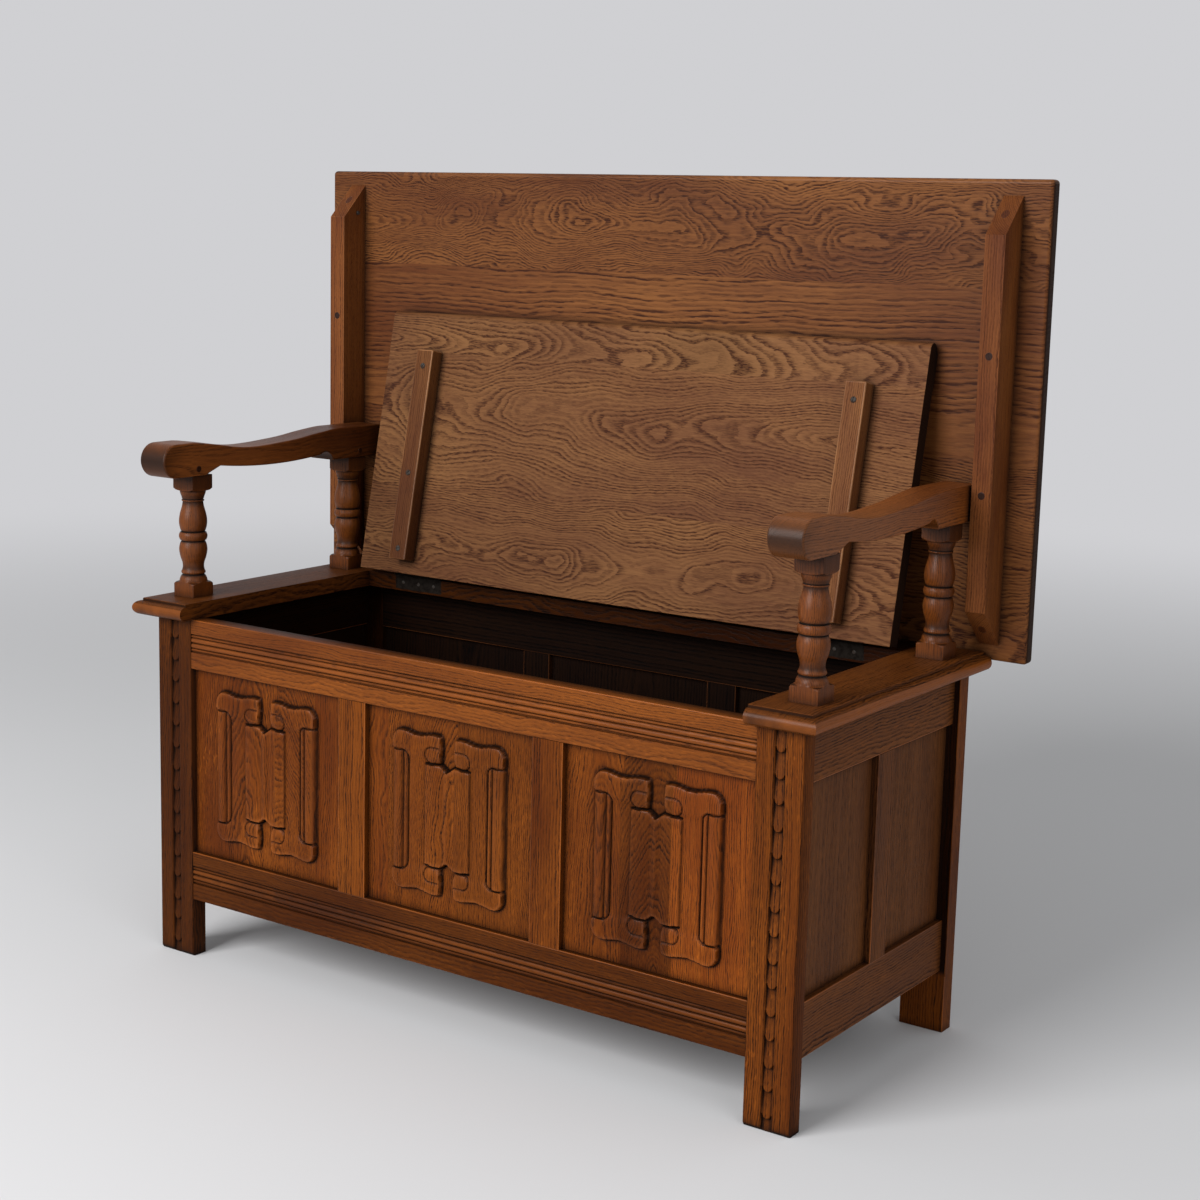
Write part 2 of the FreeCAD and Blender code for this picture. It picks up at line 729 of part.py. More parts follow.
def lid_boards():
    """The lid's glued boards, as they lie when it is shut."""
    depth = lid_rear_y - lid_front_y
    slab = prism(nosed_section(-Y_AXIS, Z_AXIS, depth, lid_thick, lid_nose_bulge),
                 V(2 * lid_half_x, 0, 0))
    slab.translate(V(-lid_half_x, lid_rear_y, lid_low_z))
    levels = (0.0,) + lid_joints + (depth,)
    return [slab.common(box(-lid_half_x - 1, lid_half_x + 1, lid_rear_y - levels[i + 1],
                            lid_rear_y - levels[i], lid_low_z - 1, lid_top_z + 1))
            for i in range(len(levels) - 1)]


def lid_batten(side):
    """A batten under the shut lid, with rounded lower ends."""
    x = side * batten_x
    y1 = lid_rear_y - batten_start
    batten = box(x - batten_width / 2, x + batten_width / 2, y1 - batten_length, y1,
                 lid_low_z - batten_thick, lid_low_z)
    ends = [e for e in batten.Edges
            if e.BoundBox.ZMax < lid_low_z - batten_thick + 0.01 and e.BoundBox.XLength > 1]
    return batten.makeFillet(batten_round, ends)


def screw(head, direction, head_radius, head_thick, shank_radius, length, gap):
    """A countersunk screw with its head flush at a point, grown by a gap for its hole."""
    cone = Part.makeCone(head_radius + gap, shank_radius + gap, head_thick, head, direction)
    shank = Part.makeCylinder(shank_radius + gap, length + gap, head, direction)
    return cone.fuse(shank).removeSplitter()


def batten_screw(side, distance, gap):
    head = V(side * batten_x, lid_rear_y - batten_start - distance, lid_low_z - batten_thick)
    return screw(head, Z_AXIS, screw_head_radius, screw_head_thick, screw_shank_radius,
                 screw_length, gap)


def knuckle_spans(side, own):
    """X ranges of the knuckles that belong to one leaf of a hinge."""
    span = hinge_length / knuckles
    start = side * hinge_x - hinge_length / 2
    return [(start + i * span + knuckle_gap / 2, start + (i + 1) * span - knuckle_gap / 2)
            for i in range(knuckles) if i % 2 == own]


def hinge_leaf(side, own, toward):
    """A leaf with its knuckles as it lies when the lid is shut; toward is +1 at the rail."""
    x0 = side * hinge_x - hinge_length / 2
    inner = hinge_y + toward * leaf_clearance
    outer = inner + toward * leaf_thick
    y0, y1 = sorted((inner, outer))
    plate_top = cap_top_z if toward > 0 else lid_top_z
    leaf = box(x0, x0 + hinge_length, y0, y1, plate_top - leaf_height, plate_top)
    for a, b in knuckle_spans(side, own):
        neck = box(a, b, y0, y1, plate_top - 1, hinge_z)
        barrel = Part.makeCylinder(knuckle_radius, b - a, V(a, hinge_y, hinge_z), X_AXIS)
        leaf = leaf.fuse([neck, barrel])
    bore = Part.makeCylinder(hinge_pin_radius + hinge_pin_fit, hinge_length + 2,
                             V(x0 - 1, hinge_y, hinge_z), X_AXIS)
    return leaf.cut(bore).removeSplitter()


def leaf_pocket(side, toward):
    x0 = side * hinge_x - hinge_length / 2
    inner = hinge_y + toward * leaf_clearance
    outer = inner + toward * leaf_thick
    y0, y1 = sorted((inner, outer))
    plate_top = cap_top_z if toward > 0 else lid_top_z
    return box(x0, x0 + hinge_length, y0, y1, plate_top - leaf_height, plate_top + 1)


def leaf_screws(side, toward, gap):
    screws = []
    middle_z = (cap_top_z if toward > 0 else lid_top_z) - leaf_height / 2
    for i in range(hinge_screws):
        x = side * hinge_x + (i - (hinge_screws - 1) / 2) * hinge_length / hinge_screws
        head = V(x, hinge_y + toward * leaf_clearance, middle_z)
        screws.append(screw(head, Y_AXIS * toward, hinge_screw_radius, leaf_thick,
                            hinge_screw_radius / 2, hinge_screw_length, gap))
    return screws


def hinge_rail():
    """Fixed board between the cappings, behind the lid."""
    rail = box(-cap_inner_x, cap_inner_x, hinge_y + leaf_clearance, cap_rear_y,
               leg_height, cap_top_z)
    for _, side in SIDES:
        rail = rail.cut(leaf_pocket(side, 1))
        for hole in leaf_screws(side, 1, screw_gap):
            rail = rail.cut(hole)
    return rail


def hinge_pin(side):
    x0 = side * hinge_x - hinge_length / 2
    return Part.makeCylinder(hinge_pin_radius, hinge_length, V(x0, hinge_y, hinge_z), X_AXIS)


def chest_pieces():
    parts, cutters = front_and_back_frames()
    side_parts, side_cutters = side_frames()
    parts.update(side_parts)
    for name, side in SIDES:
        parts[f"front_leg_{name}"] = front_leg(side)
        parts[f"rear_leg_{name}"] = rear_leg(side)
    cut_joints(parts, cutters + side_cutters)
    strips, boards = chest_floor()
    parts["floor_strips"] = Part.makeCompound(strips)
    parts["floor_boards"] = Part.makeCompound(boards)
    return parts


def seat_pieces():
    parts = {"hinge_rail": hinge_rail()}
    boards = lid_boards()
    battens = {name: lid_batten(side) for name, side in SIDES}
    screws = []
    rail_leaves = []
    lid_leaves = []
    rail_screws = []
    lid_screws = []
    for name, side in SIDES:
        boards[0] = boards[0].cut(leaf_pocket(side, -1))
        for hole in leaf_screws(side, -1, screw_gap):
            boards[0] = boards[0].cut(hole)
        for distance in batten_screws:
            hole = batten_screw(side, distance, screw_gap)
            battens[name] = battens[name].cut(hole)
            boards = [board.cut(hole) for board in boards]
            screws.append(batten_screw(side, distance, 0))
        for own, toward, leaves, fixings in ((0, 1, rail_leaves, rail_screws),
                                             (1, -1, lid_leaves, lid_screws)):
            leaf = hinge_leaf(side, own, toward)
            for hole in leaf_screws(side, toward, screw_gap):
                leaf = leaf.cut(hole)
            leaves.append(leaf)
            fixings.extend(leaf_screws(side, toward, 0))
    for place, board in zip(("rear", "middle", "front"), boards):
        parts[f"lid_board_{place}"] = opened(board)
    for name, batten in battens.items():
        parts[f"lid_batten_{name}"] = opened(batten)
    parts["lid_batten_screws"] = opened(Part.makeCompound(screws))
    parts["hinge_leaves_lid"] = opened(Part.makeCompound(lid_leaves))
    parts["hinge_screws_lid"] = opened(Part.makeCompound(lid_screws))
    parts["hinge_leaves_rail"] = Part.makeCompound(rail_leaves)
    parts["hinge_screws_rail"] = Part.makeCompound(rail_screws)
    parts["hinge_pins"] = Part.makeCompound([hinge_pin(side) for _, side in SIDES])
    return parts


def arm_pieces():
    parts = {}
    pegs = arm_pegs()
    baluster_x = arm_inner_x + arm_width / 2
    for name, side in SIDES:
        parts[f"capping_{name}"] = mirrored(capping(), side)
        for place, y in (("front", front_baluster_y), ("rear", rear_baluster_y)):
            parts[f"baluster_{place}_{name}"] = baluster(side * baluster_x, front_y + y)
        shaped = mirrored(arm(), side)
        for peg in pegs:
            shaped = shaped.cut(peg)
        parts[f"arm_{name}"] = shaped
    parts["arm_pegs"] = Part.makeCompound(pegs)
    return parts


def table_pieces():
    parts = {}
    plugs = []
    studs = []
    for place, board in zip(("low", "middle", "high"), table_boards()):
        parts[f"table_board_{place}"] = board
    bearer, side_plugs, stud = bearer_pieces()
    for name, side in SIDES:
        parts[f"bearer_{name}"] = mirrored(bearer, side)
        plugs.extend(mirrored(plug, side) for plug in side_plugs)
        studs.append(mirrored(stud, side))
    parts["bearer_plugs"] = Part.makeCompound(plugs)
    parts["bearer_studs"] = Part.makeCompound(studs)
    parts["pivot_pins"] = Part.makeCompound([mirrored(pivot_pin(), side) for _, side in SIDES])
    return parts


os.makedirs("parts", exist_ok=True)
pieces = {}
for group in (chest_pieces(), seat_pieces(), arm_pieces(), table_pieces()):
    pieces.update(group)
for node, shape in pieces.items():
    shape.exportStep(f"parts/{node}.step")
print(len(pieces), "nodes; the lid leans back", round(lid_lean, 3), "degrees")
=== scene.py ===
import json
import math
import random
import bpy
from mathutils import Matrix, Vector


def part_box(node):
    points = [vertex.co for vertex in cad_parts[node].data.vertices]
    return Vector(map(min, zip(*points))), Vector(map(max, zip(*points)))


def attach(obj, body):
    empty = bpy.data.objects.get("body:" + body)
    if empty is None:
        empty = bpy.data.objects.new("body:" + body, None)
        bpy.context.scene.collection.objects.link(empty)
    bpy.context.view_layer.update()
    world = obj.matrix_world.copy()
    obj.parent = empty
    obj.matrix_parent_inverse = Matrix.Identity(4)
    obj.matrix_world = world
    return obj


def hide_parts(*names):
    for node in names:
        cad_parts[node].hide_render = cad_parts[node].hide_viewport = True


bl_info = {
    "name": "Oak Settle Bench",
    "version": (1, 0, 0),
    "blender": (4, 5, 0),
    "location": "View3D > Sidebar > Settle",
    "description": "Builds the visible wood and metal of a carved oak settle with a tip-over top",
    "category": "Add Mesh",
}

import bmesh
import bpy
import numpy as np
from mathutils import Matrix, Vector

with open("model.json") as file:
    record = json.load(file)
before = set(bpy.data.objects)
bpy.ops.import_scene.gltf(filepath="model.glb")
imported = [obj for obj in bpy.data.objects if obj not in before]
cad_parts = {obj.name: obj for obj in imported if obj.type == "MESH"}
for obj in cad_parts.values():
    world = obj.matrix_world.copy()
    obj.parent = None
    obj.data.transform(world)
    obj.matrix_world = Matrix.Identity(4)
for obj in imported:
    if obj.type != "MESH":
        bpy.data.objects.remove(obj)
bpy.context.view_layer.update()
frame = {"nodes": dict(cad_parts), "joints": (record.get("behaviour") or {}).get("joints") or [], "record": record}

X = Vector((1, 0, 0))
Y = Vector((0, 1, 0))
Z = Vector((0, 0, 1))
SIDES = (("left", -1), ("right", 1))
MM = 0.001
REED = 3.5 * MM         # half the width of a reed on the front rails
REED_LIFT = 1.5 * MM    # how far the reeds lie over the middle of their rail
# Tone of faces inside the chest: their dark stain and painted shade
INSIDE_STAIN_AND_SHADE = -0.9


# Places read from the frame

def low(node):
    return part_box(node)[0]


def high(node):
    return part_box(node)[1]


LEG_INNER_X = low("front_leg_right").x
LEG_BACK_Y = high("front_leg_right").y
REAR_LEG_Y = low("rear_leg_right").y
RAIL_TOP = high("front_bottom_rail").z
RAIL_FOOT = low("front_top_rail").z
FRAME_FOOT = low("front_bottom_rail").z
LID_JOINT = next(j for j in frame["joints"] if j["name"] == "lid_hinge")
LID_PIN = Vector(LID_JOINT["pos_m"])
LID_SWING = math.radians(LID_JOINT["range_deg"][1])
OPEN_LID = (Matrix.Translation(LID_PIN) @ Matrix.Rotation(-LID_SWING, 4, "X")
            @ Matrix.Translation(-LID_PIN))
SHUT_LID = OPEN_LID.inverted()


def shut_box(node):
    """Corners of a lid piece with the lid turned shut."""
    points = np.array([SHUT_LID @ v.co for v in frame["nodes"][node].data.vertices])
    return Vector(points.min(0)), Vector(points.max(0))


def body_of(node):
    bodies = frame["record"]["behaviour"]["bodies"]
    return next(name for name, nodes in bodies.items() if node in nodes)


def slot_of(node):
    return next(s["material_slot"] for s in frame["record"]["subparts"] if s["node"] == node)


# What a user can change

class SettleSizes(bpy.types.PropertyGroup):
    arris: bpy.props.FloatProperty(
        name="Arris", description="Rounding of the edges of rails, legs and boards",
        default=1.1 * MM, min=0.0, unit="LENGTH")
    arm_arris: bpy.props.FloatProperty(
        name="Arm arris", description="Rounding of the long edges of the arms",
        default=2.4 * MM, min=0.0, unit="LENGTH")
    top_edge: bpy.props.FloatProperty(
        name="Table edge", description="Rounding of the outer edges of the table top",
        default=5.0 * MM, min=0.0, unit="LENGTH")
    carving_pitch: bpy.props.FloatProperty(
        name="Carving detail", description="Distance between points on the carved faces",
        default=1.2 * MM, min=0.5 * MM, unit="LENGTH")
    fold_height: bpy.props.FloatProperty(
        name="Fold height", description="Height of the carved folds over the panel",
        default=7.8 * MM, min=0.0, unit="LENGTH")
    gouge_height: bpy.props.FloatProperty(
        name="Gouge height", description="Height of the tongues in the legs' channels",
        default=3.7 * MM, min=0.0, unit="LENGTH")
    turning_steps: bpy.props.IntProperty(
        name="Turning steps", description="Faces round each baluster", default=56, min=16)


class SettleFinish(bpy.types.PropertyGroup):
    oak_light: bpy.props.FloatVectorProperty(
        name="Light oak", description="Palest wood of the front and the table top",
        subtype="COLOR", size=3, min=0.0, max=1.0, default=(0.222, 0.058, 0.0058))
    oak_deep: bpy.props.FloatVectorProperty(
        name="Deep oak", description="Deepest wood between the grain lines",
        subtype="COLOR", size=3, min=0.0, max=1.0, default=(0.100, 0.0215, 0.0024))
    grain_line: bpy.props.FloatVectorProperty(
        name="Grain line", description="Stained pores along the growth rings",
        subtype="COLOR", size=3, min=0.0, max=1.0, default=(0.022, 0.0065, 0.0022))
    # The grime colour is both dark wax and grime and painted shade in corners and carving, through the
    # soil_and_shade mix of the oak shader
    grime: bpy.props.FloatVectorProperty(
        name="Grime", description="Dark wax that sits in corners and carving",
        subtype="COLOR", size=3, min=0.0, max=1.0, default=(0.0085, 0.0035, 0.002))
    polish: bpy.props.FloatProperty(
        name="Polish", description="Strength of the wax coat on the arms",
        default=0.13, min=0.0, max=1.0, subtype="FACTOR")
    steel: bpy.props.FloatVectorProperty(
        name="Hinge steel", description="Dark steel of the butt hinges",
        subtype="COLOR", size=3, min=0.0, max=1.0, default=(0.012, 0.009, 0.007))
    screw: bpy.props.FloatVectorProperty(
        name="Screw steel", description="Grey steel of the screws",
        subtype="COLOR", size=3, min=0.0, max=1.0, default=(0.05, 0.045, 0.040))


class SettleStage(bpy.types.PropertyGroup):
    key_power: bpy.props.FloatProperty(
        name="Key light", description="Power of the large soft lamp in front",
        default=185.0, min=0.0, unit="POWER")
    room_light: bpy.props.FloatProperty(
        name="Room light", description="Strength of the light from all round",
        default=0.42, min=0.0)
    floor_colour: bpy.props.FloatVectorProperty(
        name="Floor", description="Colour of the plain floor",
        subtype="COLOR", size=3, min=0.0, max=1.0, default=(0.70, 0.70, 0.71))
    backdrop: bpy.props.FloatVectorProperty(
        name="Backdrop", description="Colour seen behind the bench",
        subtype="COLOR", size=3, min=0.0, max=1.0, default=(0.63, 0.63, 0.65))


# Shader maths

class Value:
    """A number that varies over a surface. Arithmetic on it adds Math nodes."""

    def __init__(self, finish, socket):
        self.finish = finish
        self.socket = socket

    def math(self, operation, *others):
        return self.finish.math(operation, self, *others)

    def __add__(self, other):
        return self.math("ADD", other)

    __radd__ = __add__

    def __mul__(self, other):
        return self.math("MULTIPLY", other)

    __rmul__ = __mul__

    def __sub__(self, other):
        return self.math("SUBTRACT", other)

    def __rsub__(self, other):
        return self.finish.math("SUBTRACT", other, self)

    def __truediv__(self, other):
        return self.math("DIVIDE", other)

    def __pow__(self, other):
        return self.math("POWER", other)

    def fract(self):
        return self.math("FRACT")

    def size(self):
        return self.math("ABSOLUTE")

    def clipped(self):
        return self.finish.node("ShaderNodeClamp", {}, "Result", Value=self)

    def between(self, start, end):
        """0 below start, 1 above end, and smooth between them."""
        return self.finish.node("ShaderNodeMapRange", {"interpolation_type": "SMOOTHSTEP"},
                                "Result", Value=self, **{"From Min": start, "From Max": end})


class Finish:
    """The nodes of a material or a world: one method adds any node and links what it is given."""

    def __init__(self, owner):
        owner.use_nodes = True
        self.owner = owner
        self.tree = owner.node_tree
        self.tree.nodes.clear()

    def node(self, kind, settings, output=0, **inputs):
        """Adds a node, its settings first, and gives one of its outputs, or None if it has none."""
        node = self.tree.nodes.new(kind)
        for key, setting in settings.items():
            if key == "stops":
                self.set_stops(node.color_ramp, setting)
            else:
                setattr(node, key, setting)
        for key, given in inputs.items():
            socket = self.find_input(node, key)
            if isinstance(given, Value):
                self.tree.links.new(given.socket, socket)
            else:
                socket.default_value = given
        return Value(self, node.outputs[output]) if node.outputs else None

    @staticmethod
    def find_input(node, key):
        """The input of that name that is in use, or the one of that number, as in i2."""
        if key[0] == "i" and key[1:].isdigit():
            return node.inputs[int(key[1:])]
        return next(s for s in node.inputs if s.name == key and s.enabled)

    @staticmethod
    def set_stops(ramp, stops):
        while len(ramp.elements) < len(stops):
            ramp.elements.new(1.0)
        for element, (place, colour) in zip(ramp.elements, stops):
            element.position = place
            element.color = (*colour, 1.0)

    def math(self, operation, *values):
        return self.node("ShaderNodeMath", {"operation": operation}, 0,
                         **{f"i{i}": value for i, value in enumerate(values)})

    def vector(self, operation, *values, output=0):
        return self.node("ShaderNodeVectorMath", {"operation": operation}, output,
                         **{f"i{i}": value for i, value in enumerate(values)})

    def parts(self, vector):
        first = self.node("ShaderNodeSeparateXYZ", {}, i0=vector)
        return [Value(self, socket) for socket in first.socket.node.outputs]

    def joined(self, x, y, z):
        return self.node("ShaderNodeCombineXYZ", {}, "Vector", X=x, Y=y, Z=z)

    def noise(self, vector, scale=1.0, detail=2.0, rough=0.5, twist=0.0):
        return self.node("ShaderNodeTexNoise", {}, "Fac", Vector=vector, Scale=scale,
                         Detail=detail, Roughness=rough, Distortion=twist)

    def mix(self, factor, first, second, blend="MIX"):
        """Colour from first to second; colours are given as links or as three numbers."""
        def colour(c):
            return c if isinstance(c, Value) else (*c, 1.0)
        return self.node("ShaderNodeMix", {"data_type": "RGBA", "blend_type": blend}, 2,
                         Factor=factor, A=colour(first), B=colour(second))

    def read(self, name, output="Fac"):
        return self.node("ShaderNodeAttribute", {"attribute_name": name}, output)

    def surface(self, **inputs):
        """A shader whose inputs are named with _ for each space."""
        named = {key.replace("_", " "): given for key, given in inputs.items()}
        return self.node("ShaderNodeBsdfPrincipled", {}, **named)

    def shown(self, shader, kind="Material"):
        self.node(f"ShaderNodeOutput{kind}", {}, i0=shader)
        return self.owner


def oak(name, light, deep, line, grime, ring=3.6 * MM, figure=1.0, gloss=0.45, coat=0.0,
        shine=0.15, contrast=0.8, flecks=0.0):
    """Waxed oak. The mesh carries its place in the tree, in metres from the heart line."""
    f = Finish(bpy.data.materials.new(name))
    place = f.read("grain", "Vector")
    tone = f.read("tone")
    # dirt: grime and painted shade laid on the meshes, in carving, channels and necks of turnings, and on some end
    # faces
    dirt = f.read("dirt")
    wild = f.read("wild")
    faded = f.read("faded")
    calm = f.read("calm")
    along, across, deep_in = f.parts(place)

    # Distance from the heart line, bent by slow drift, by curls where the wood is wild, and by
    # a fine raggedness
    drift = f.noise(f.joined(along * 2.2, across * 7.0, deep_in * 7.0), detail=2.0) - 0.5
    curl = f.noise(f.joined(along * 8.5, across * 12.5, deep_in * 12.5), detail=1.4,
                   rough=0.45, twist=0.25) - 0.5
    ripple = f.noise(f.joined(along * 44.0, across * 75.0, deep_in * 75.0), detail=2.0,
                     rough=0.5) - 0.5
    ragged = f.noise(f.joined(along * 120.0, across * 650.0, deep_in * 650.0), detail=2.0) - 0.5
    across = across + drift * 0.030
    heart = (across * across + deep_in * deep_in) ** 0.5
    bend = drift * 0.014 + curl * wild * (0.090 * figure) \
        + ripple * (wild * 0.6 + 0.4) * (0.0062 * figure)
    rings = (heart + bend) / ring + ragged * 0.42

    # Each ring starts with a band of open pores and fades towards its outer side
    year = f.noise(f.joined(rings * 0.9, along * 0.4, 0.0), detail=1.0)
    spread = rings.fract()
    band = spread.between(0.02, 0.12) * (1.0 - spread.between(0.26, 0.85))
    band = band * (year.between(0.30, 0.66) * 0.75 + 0.25)
    dashes = f.noise(f.joined(along * 90.0, across * 950.0, deep_in * 950.0), detail=2.0)
    pores = dashes.between(0.42, 0.60) * (band * 0.84 + 0.16)
    strands = f.noise(f.joined(along * 14.0, across * 480.0, deep_in * 480.0), detail=3.0,
                      rough=0.62)
    patch = f.noise(f.joined(along * 3.4, across * 13.0, deep_in * 13.0), detail=3.0)
    cloud = f.noise(f.joined(along * 1.6, across * 4.0, deep_in * 4.0), detail=2.0)

    smudge = cloud.between(0.54, 0.66) * patch.between(0.50, 0.68) * (1.0 - wild)
    body = (strands - 0.5) * 1.3 + (patch - 0.5) * 1.9 + (cloud - 0.5) * 1.7 + 0.5
    wood = f.mix(body.clipped(), deep, light)
    # Paler colour of bare wood, for ray flecks, for wear and for painted highlights
    bare_and_highlight = tuple(min(1.0, 1.45 * c) for c in light)
    if flecks:
        fleck = f.noise(f.joined(along * 75.0, across * 260.0, deep_in * 260.0), detail=1.0)
        fleck = fleck.between(0.58, 0.72) * patch.between(0.46, 0.60) * (1.0 - calm)
        wood = f.mix((fleck * flecks).clipped(), wood, bare_and_highlight)
    end_grain = f.read("end")
    # faded greys the wood: painted sheen and shade on faces turned from the lamp, and some real fading
    wood = f.mix((faded * (patch * 0.5 + 0.5)).clipped(), wood,
                 tuple(0.45 * a + b for a, b in zip(light, (0.0, 0.02, 0.016))))
    marked = (band * 0.55 + pores * 0.95) * (1.0 - end_grain * 0.6) * (1.0 - calm) * contrast
    wood = f.mix(marked.clipped(), wood, line)
    lift = (tone + 1.0) * (1.0 - end_grain * 0.75)
    ruddy = f.read("ruddy")
    wood = f.vector("MULTIPLY", wood, f.joined(lift, lift * (1.0 - ruddy * 0.22),
                                               lift * (1.0 - ruddy * 0.45)))

    # Worn arrises and painted highlights both turn to the bare wood colour and take some coat
    worn = f.read("wear")
    worn = worn * tone.between(-0.85, -0.45)
    wood = f.mix((worn * (patch.between(0.36, 0.60) * 0.65 + 0.12)).clipped(), wood, bare_and_highlight)
    # Painted shade: an ambient occlusion node darkens corners and recesses towards the grime colour, added to the
    # dirt attribute and random dark stains
    corner = f.node("ShaderNodeAmbientOcclusion", {"samples": 4}, "AO", Distance=12 * MM)
    soil_and_shade = (1.0 - corner.between(0.32, 0.99)) * (strands * 0.5 + 0.65) + dirt + smudge * 0.40
    wood = f.mix((soil_and_shade * 0.92).clipped(), wood, grime)

    rough = gloss + band * 0.10 + (patch - 0.5) * 0.20 + soil_and_shade * 0.15
    height = f.noise(f.joined(along * 8.0, across * 34.0, deep_in * 34.0), detail=2.0) * 1.5 \
        - band * 0.30 - pores * 0.55 + strands * 0.25
    normal = f.node("ShaderNodeBump", {}, "Normal", Strength=0.6, Distance=0.35 * MM,
                    Height=height)
    return f.shown(f.surface(Base_Color=wood, Roughness=rough.clipped(), Normal=normal,
                             Coat_Weight=worn * 0.3 + coat, Coat_Roughness=0.30,
                             Specular_IOR_Level=shine))


def metal(name, colour, rough, rust, bright):
    """Dull steel with patches of rust's colour. Bright is how much of a metal it still is."""
    f = Finish(bpy.data.materials.new(name))
    place = f.node("ShaderNodeTexCoord", {}, "Object")
    patch = f.noise(place, scale=160.0, detail=4.0)
    fine = f.noise(place, scale=1400.0, detail=2.0)
    shade = f.mix(patch.between(0.40, 0.66), colour, rust)
    normal = f.node("ShaderNodeBump", {}, "Normal", Strength=0.4, Distance=0.1 * MM,
                    Height=patch + fine * 0.5)
    return f.shown(f.surface(Base_Color=shade, Metallic=bright, Specular_IOR_Level=bright * 0.5,
                             Roughness=(patch * 0.3 + rough).clipped(), Normal=normal))


def floor_finish(colour, backdrop):
    """Pale floor that turns into the backdrop's colour some metres from the bench."""
    f = Finish(bpy.data.materials.new("pale floor"))
    place = f.node("ShaderNodeTexCoord", {}, "Object")
    across, back, _ = f.parts(place)
    away = (across * across + back * back) ** 0.5
    seen = f.node("ShaderNodeLightPath", {}, "Is Camera Ray")
    near = f.surface(Base_Color=(*colour, 1), Roughness=0.85, Specular_IOR_Level=0.1)
    far = f.node("ShaderNodeEmission", {}, Color=(*backdrop, 1))
    return f.shown(f.node("ShaderNodeMixShader", {}, i0=away.between(1.5, 4.5) * seen,
                          i1=near, i2=far))


def shaded(colour, factors):
    return tuple(c * k for c, k in zip(colour, factors))


def make_finishes():
    """All materials by their slot names in the record."""
    t = bpy.context.scene.settle_finish
    light, deep, line, grime = t.oak_light, t.oak_deep, t.grain_line, t.grime
    return {
        "frame_oak": oak("chest oak", light, deep, line, grime, ring=2.4 * MM, gloss=0.42,
                         shine=0.055, contrast=0.74, flecks=0.5),
        "top_oak": oak("table top oak", shaded(light, (0.86, 1.22, 3.3)),
                       shaded(deep, (0.95, 1.32, 3.3)), shaded(line, (1.5, 1.3, 1.2)), grime,
                       ring=3.8 * MM, gloss=0.5, shine=0.10, contrast=0.9),
        "lid_oak": oak("lid underside oak", shaded(light, (0.96, 1.62, 5.7)),
                       shaded(deep, (1.12, 1.85, 5.9)), shaded(line, (1.9, 1.8, 1.9)), grime,
                       ring=3.4 * MM, figure=0.8, gloss=0.6, shine=0.10, contrast=0.85),
        "arm_oak": oak("polished arm oak", shaded(light, (1.0, 1.05, 1.7)),
                       shaded(deep, (0.95, 1.05, 1.8)), line, grime, ring=2.4 * MM,
                       figure=0.5, gloss=0.40, coat=t.polish, shine=0.1, contrast=0.55),
        # The inner oak is darkened for its stain and as painted shade inside the chest
        "inner_oak": oak("stained inner oak", shaded(light, (0.42, 0.50, 1.2)),
                         shaded(deep, (0.45, 0.55, 1.4)), shaded(line, (0.5, 0.5, 0.7)),
                         grime, ring=4.0 * MM, figure=0.5, gloss=0.7, shine=0.05),
        "plug_wood": oak("plug wood", shaded(deep, (0.85, 0.9, 1.6)),
                         shaded(deep, (0.5, 0.55, 1.0)), line, grime, ring=2.0 * MM, gloss=0.45),
        "hinge_steel": metal("hinge steel", t.steel, 0.6, (0.006, 0.004, 0.003), 0.1),
        "screw_steel": metal("screw steel", t.screw, 0.5, (0.03, 0.018, 0.012), 0.4),
    }


FINISHES = {}


def finish_for(slot):
    if not FINISHES:
        FINISHES.update(make_finishes())
    return FINISHES[slot]


# Pieces from meshes

def set_numbers(mesh, name, kind, domain, values):
    attribute = mesh.attributes.new(name, kind, domain)
    key = "vector" if kind == "FLOAT_VECTOR" else "value"
    attribute.data.foreach_set(key, np.asarray(values, np.float32).ravel())


def lay_grain(mesh, along, face, heart, seed, tone=0.0, wild=0.0, tilt=0.0, coarse=1.0,
              faded=0.0, lit=None, rounded=False, calm=0.0, ruddy=0.0):
    """Gives each point its place in the tree: along the grain, across it, and in from a face.
    heart is where the heart line runs, across from the middle and in behind the face, and tilt how fast it leaves
    the face. A coarse board has wide rings, a ruddy one has more red, and a calm one has faint lines. A faded one
    is greyed, for some real fading and as painted sheen and shade on faces turned from the lamp. Points for which
    lit is false get a dark tone, for the dark stain inside the chest and as painted shade there."""
    points = np.array([v.co for v in mesh.vertices])
    along, face = np.array(along), np.array(face)
    across = np.cross(along, face)
    away = points - (points.min(0) + points.max(0)) / 2
    shift = random.Random(seed)
    place = np.stack([away @ along, away @ across - heart[0],
                      away @ face + heart[1] + (away @ along) * tilt], 1) / coarse
    place[:, 0] += shift.uniform(0, 40)
    set_numbers(mesh, "grain", "FLOAT_VECTOR", "POINT", place)
    shades = np.zeros(len(points)) + tone + shift.uniform(-0.05, 0.05)
    if lit is not None:
        shades = np.where(lit(points), shades, INSIDE_STAIN_AND_SHADE)
    for name, values in (("tone", shades), ("wild", wild), ("faded", faded), ("calm", calm),
                         ("ruddy", ruddy)):
        set_numbers(mesh, name, "FLOAT", "POINT", np.zeros(len(points)) + values)
    if rounded:
        normals = np.array([v.normal for v in mesh.vertices])
        set_numbers(mesh, "end", "FLOAT", "POINT", np.abs(normals @ along) ** 3)
    else:
        normals = np.array([polygon.normal for polygon in mesh.polygons])
        set_numbers(mesh, "end", "FLOAT", "FACE", np.abs(normals @ along) > 0.8)


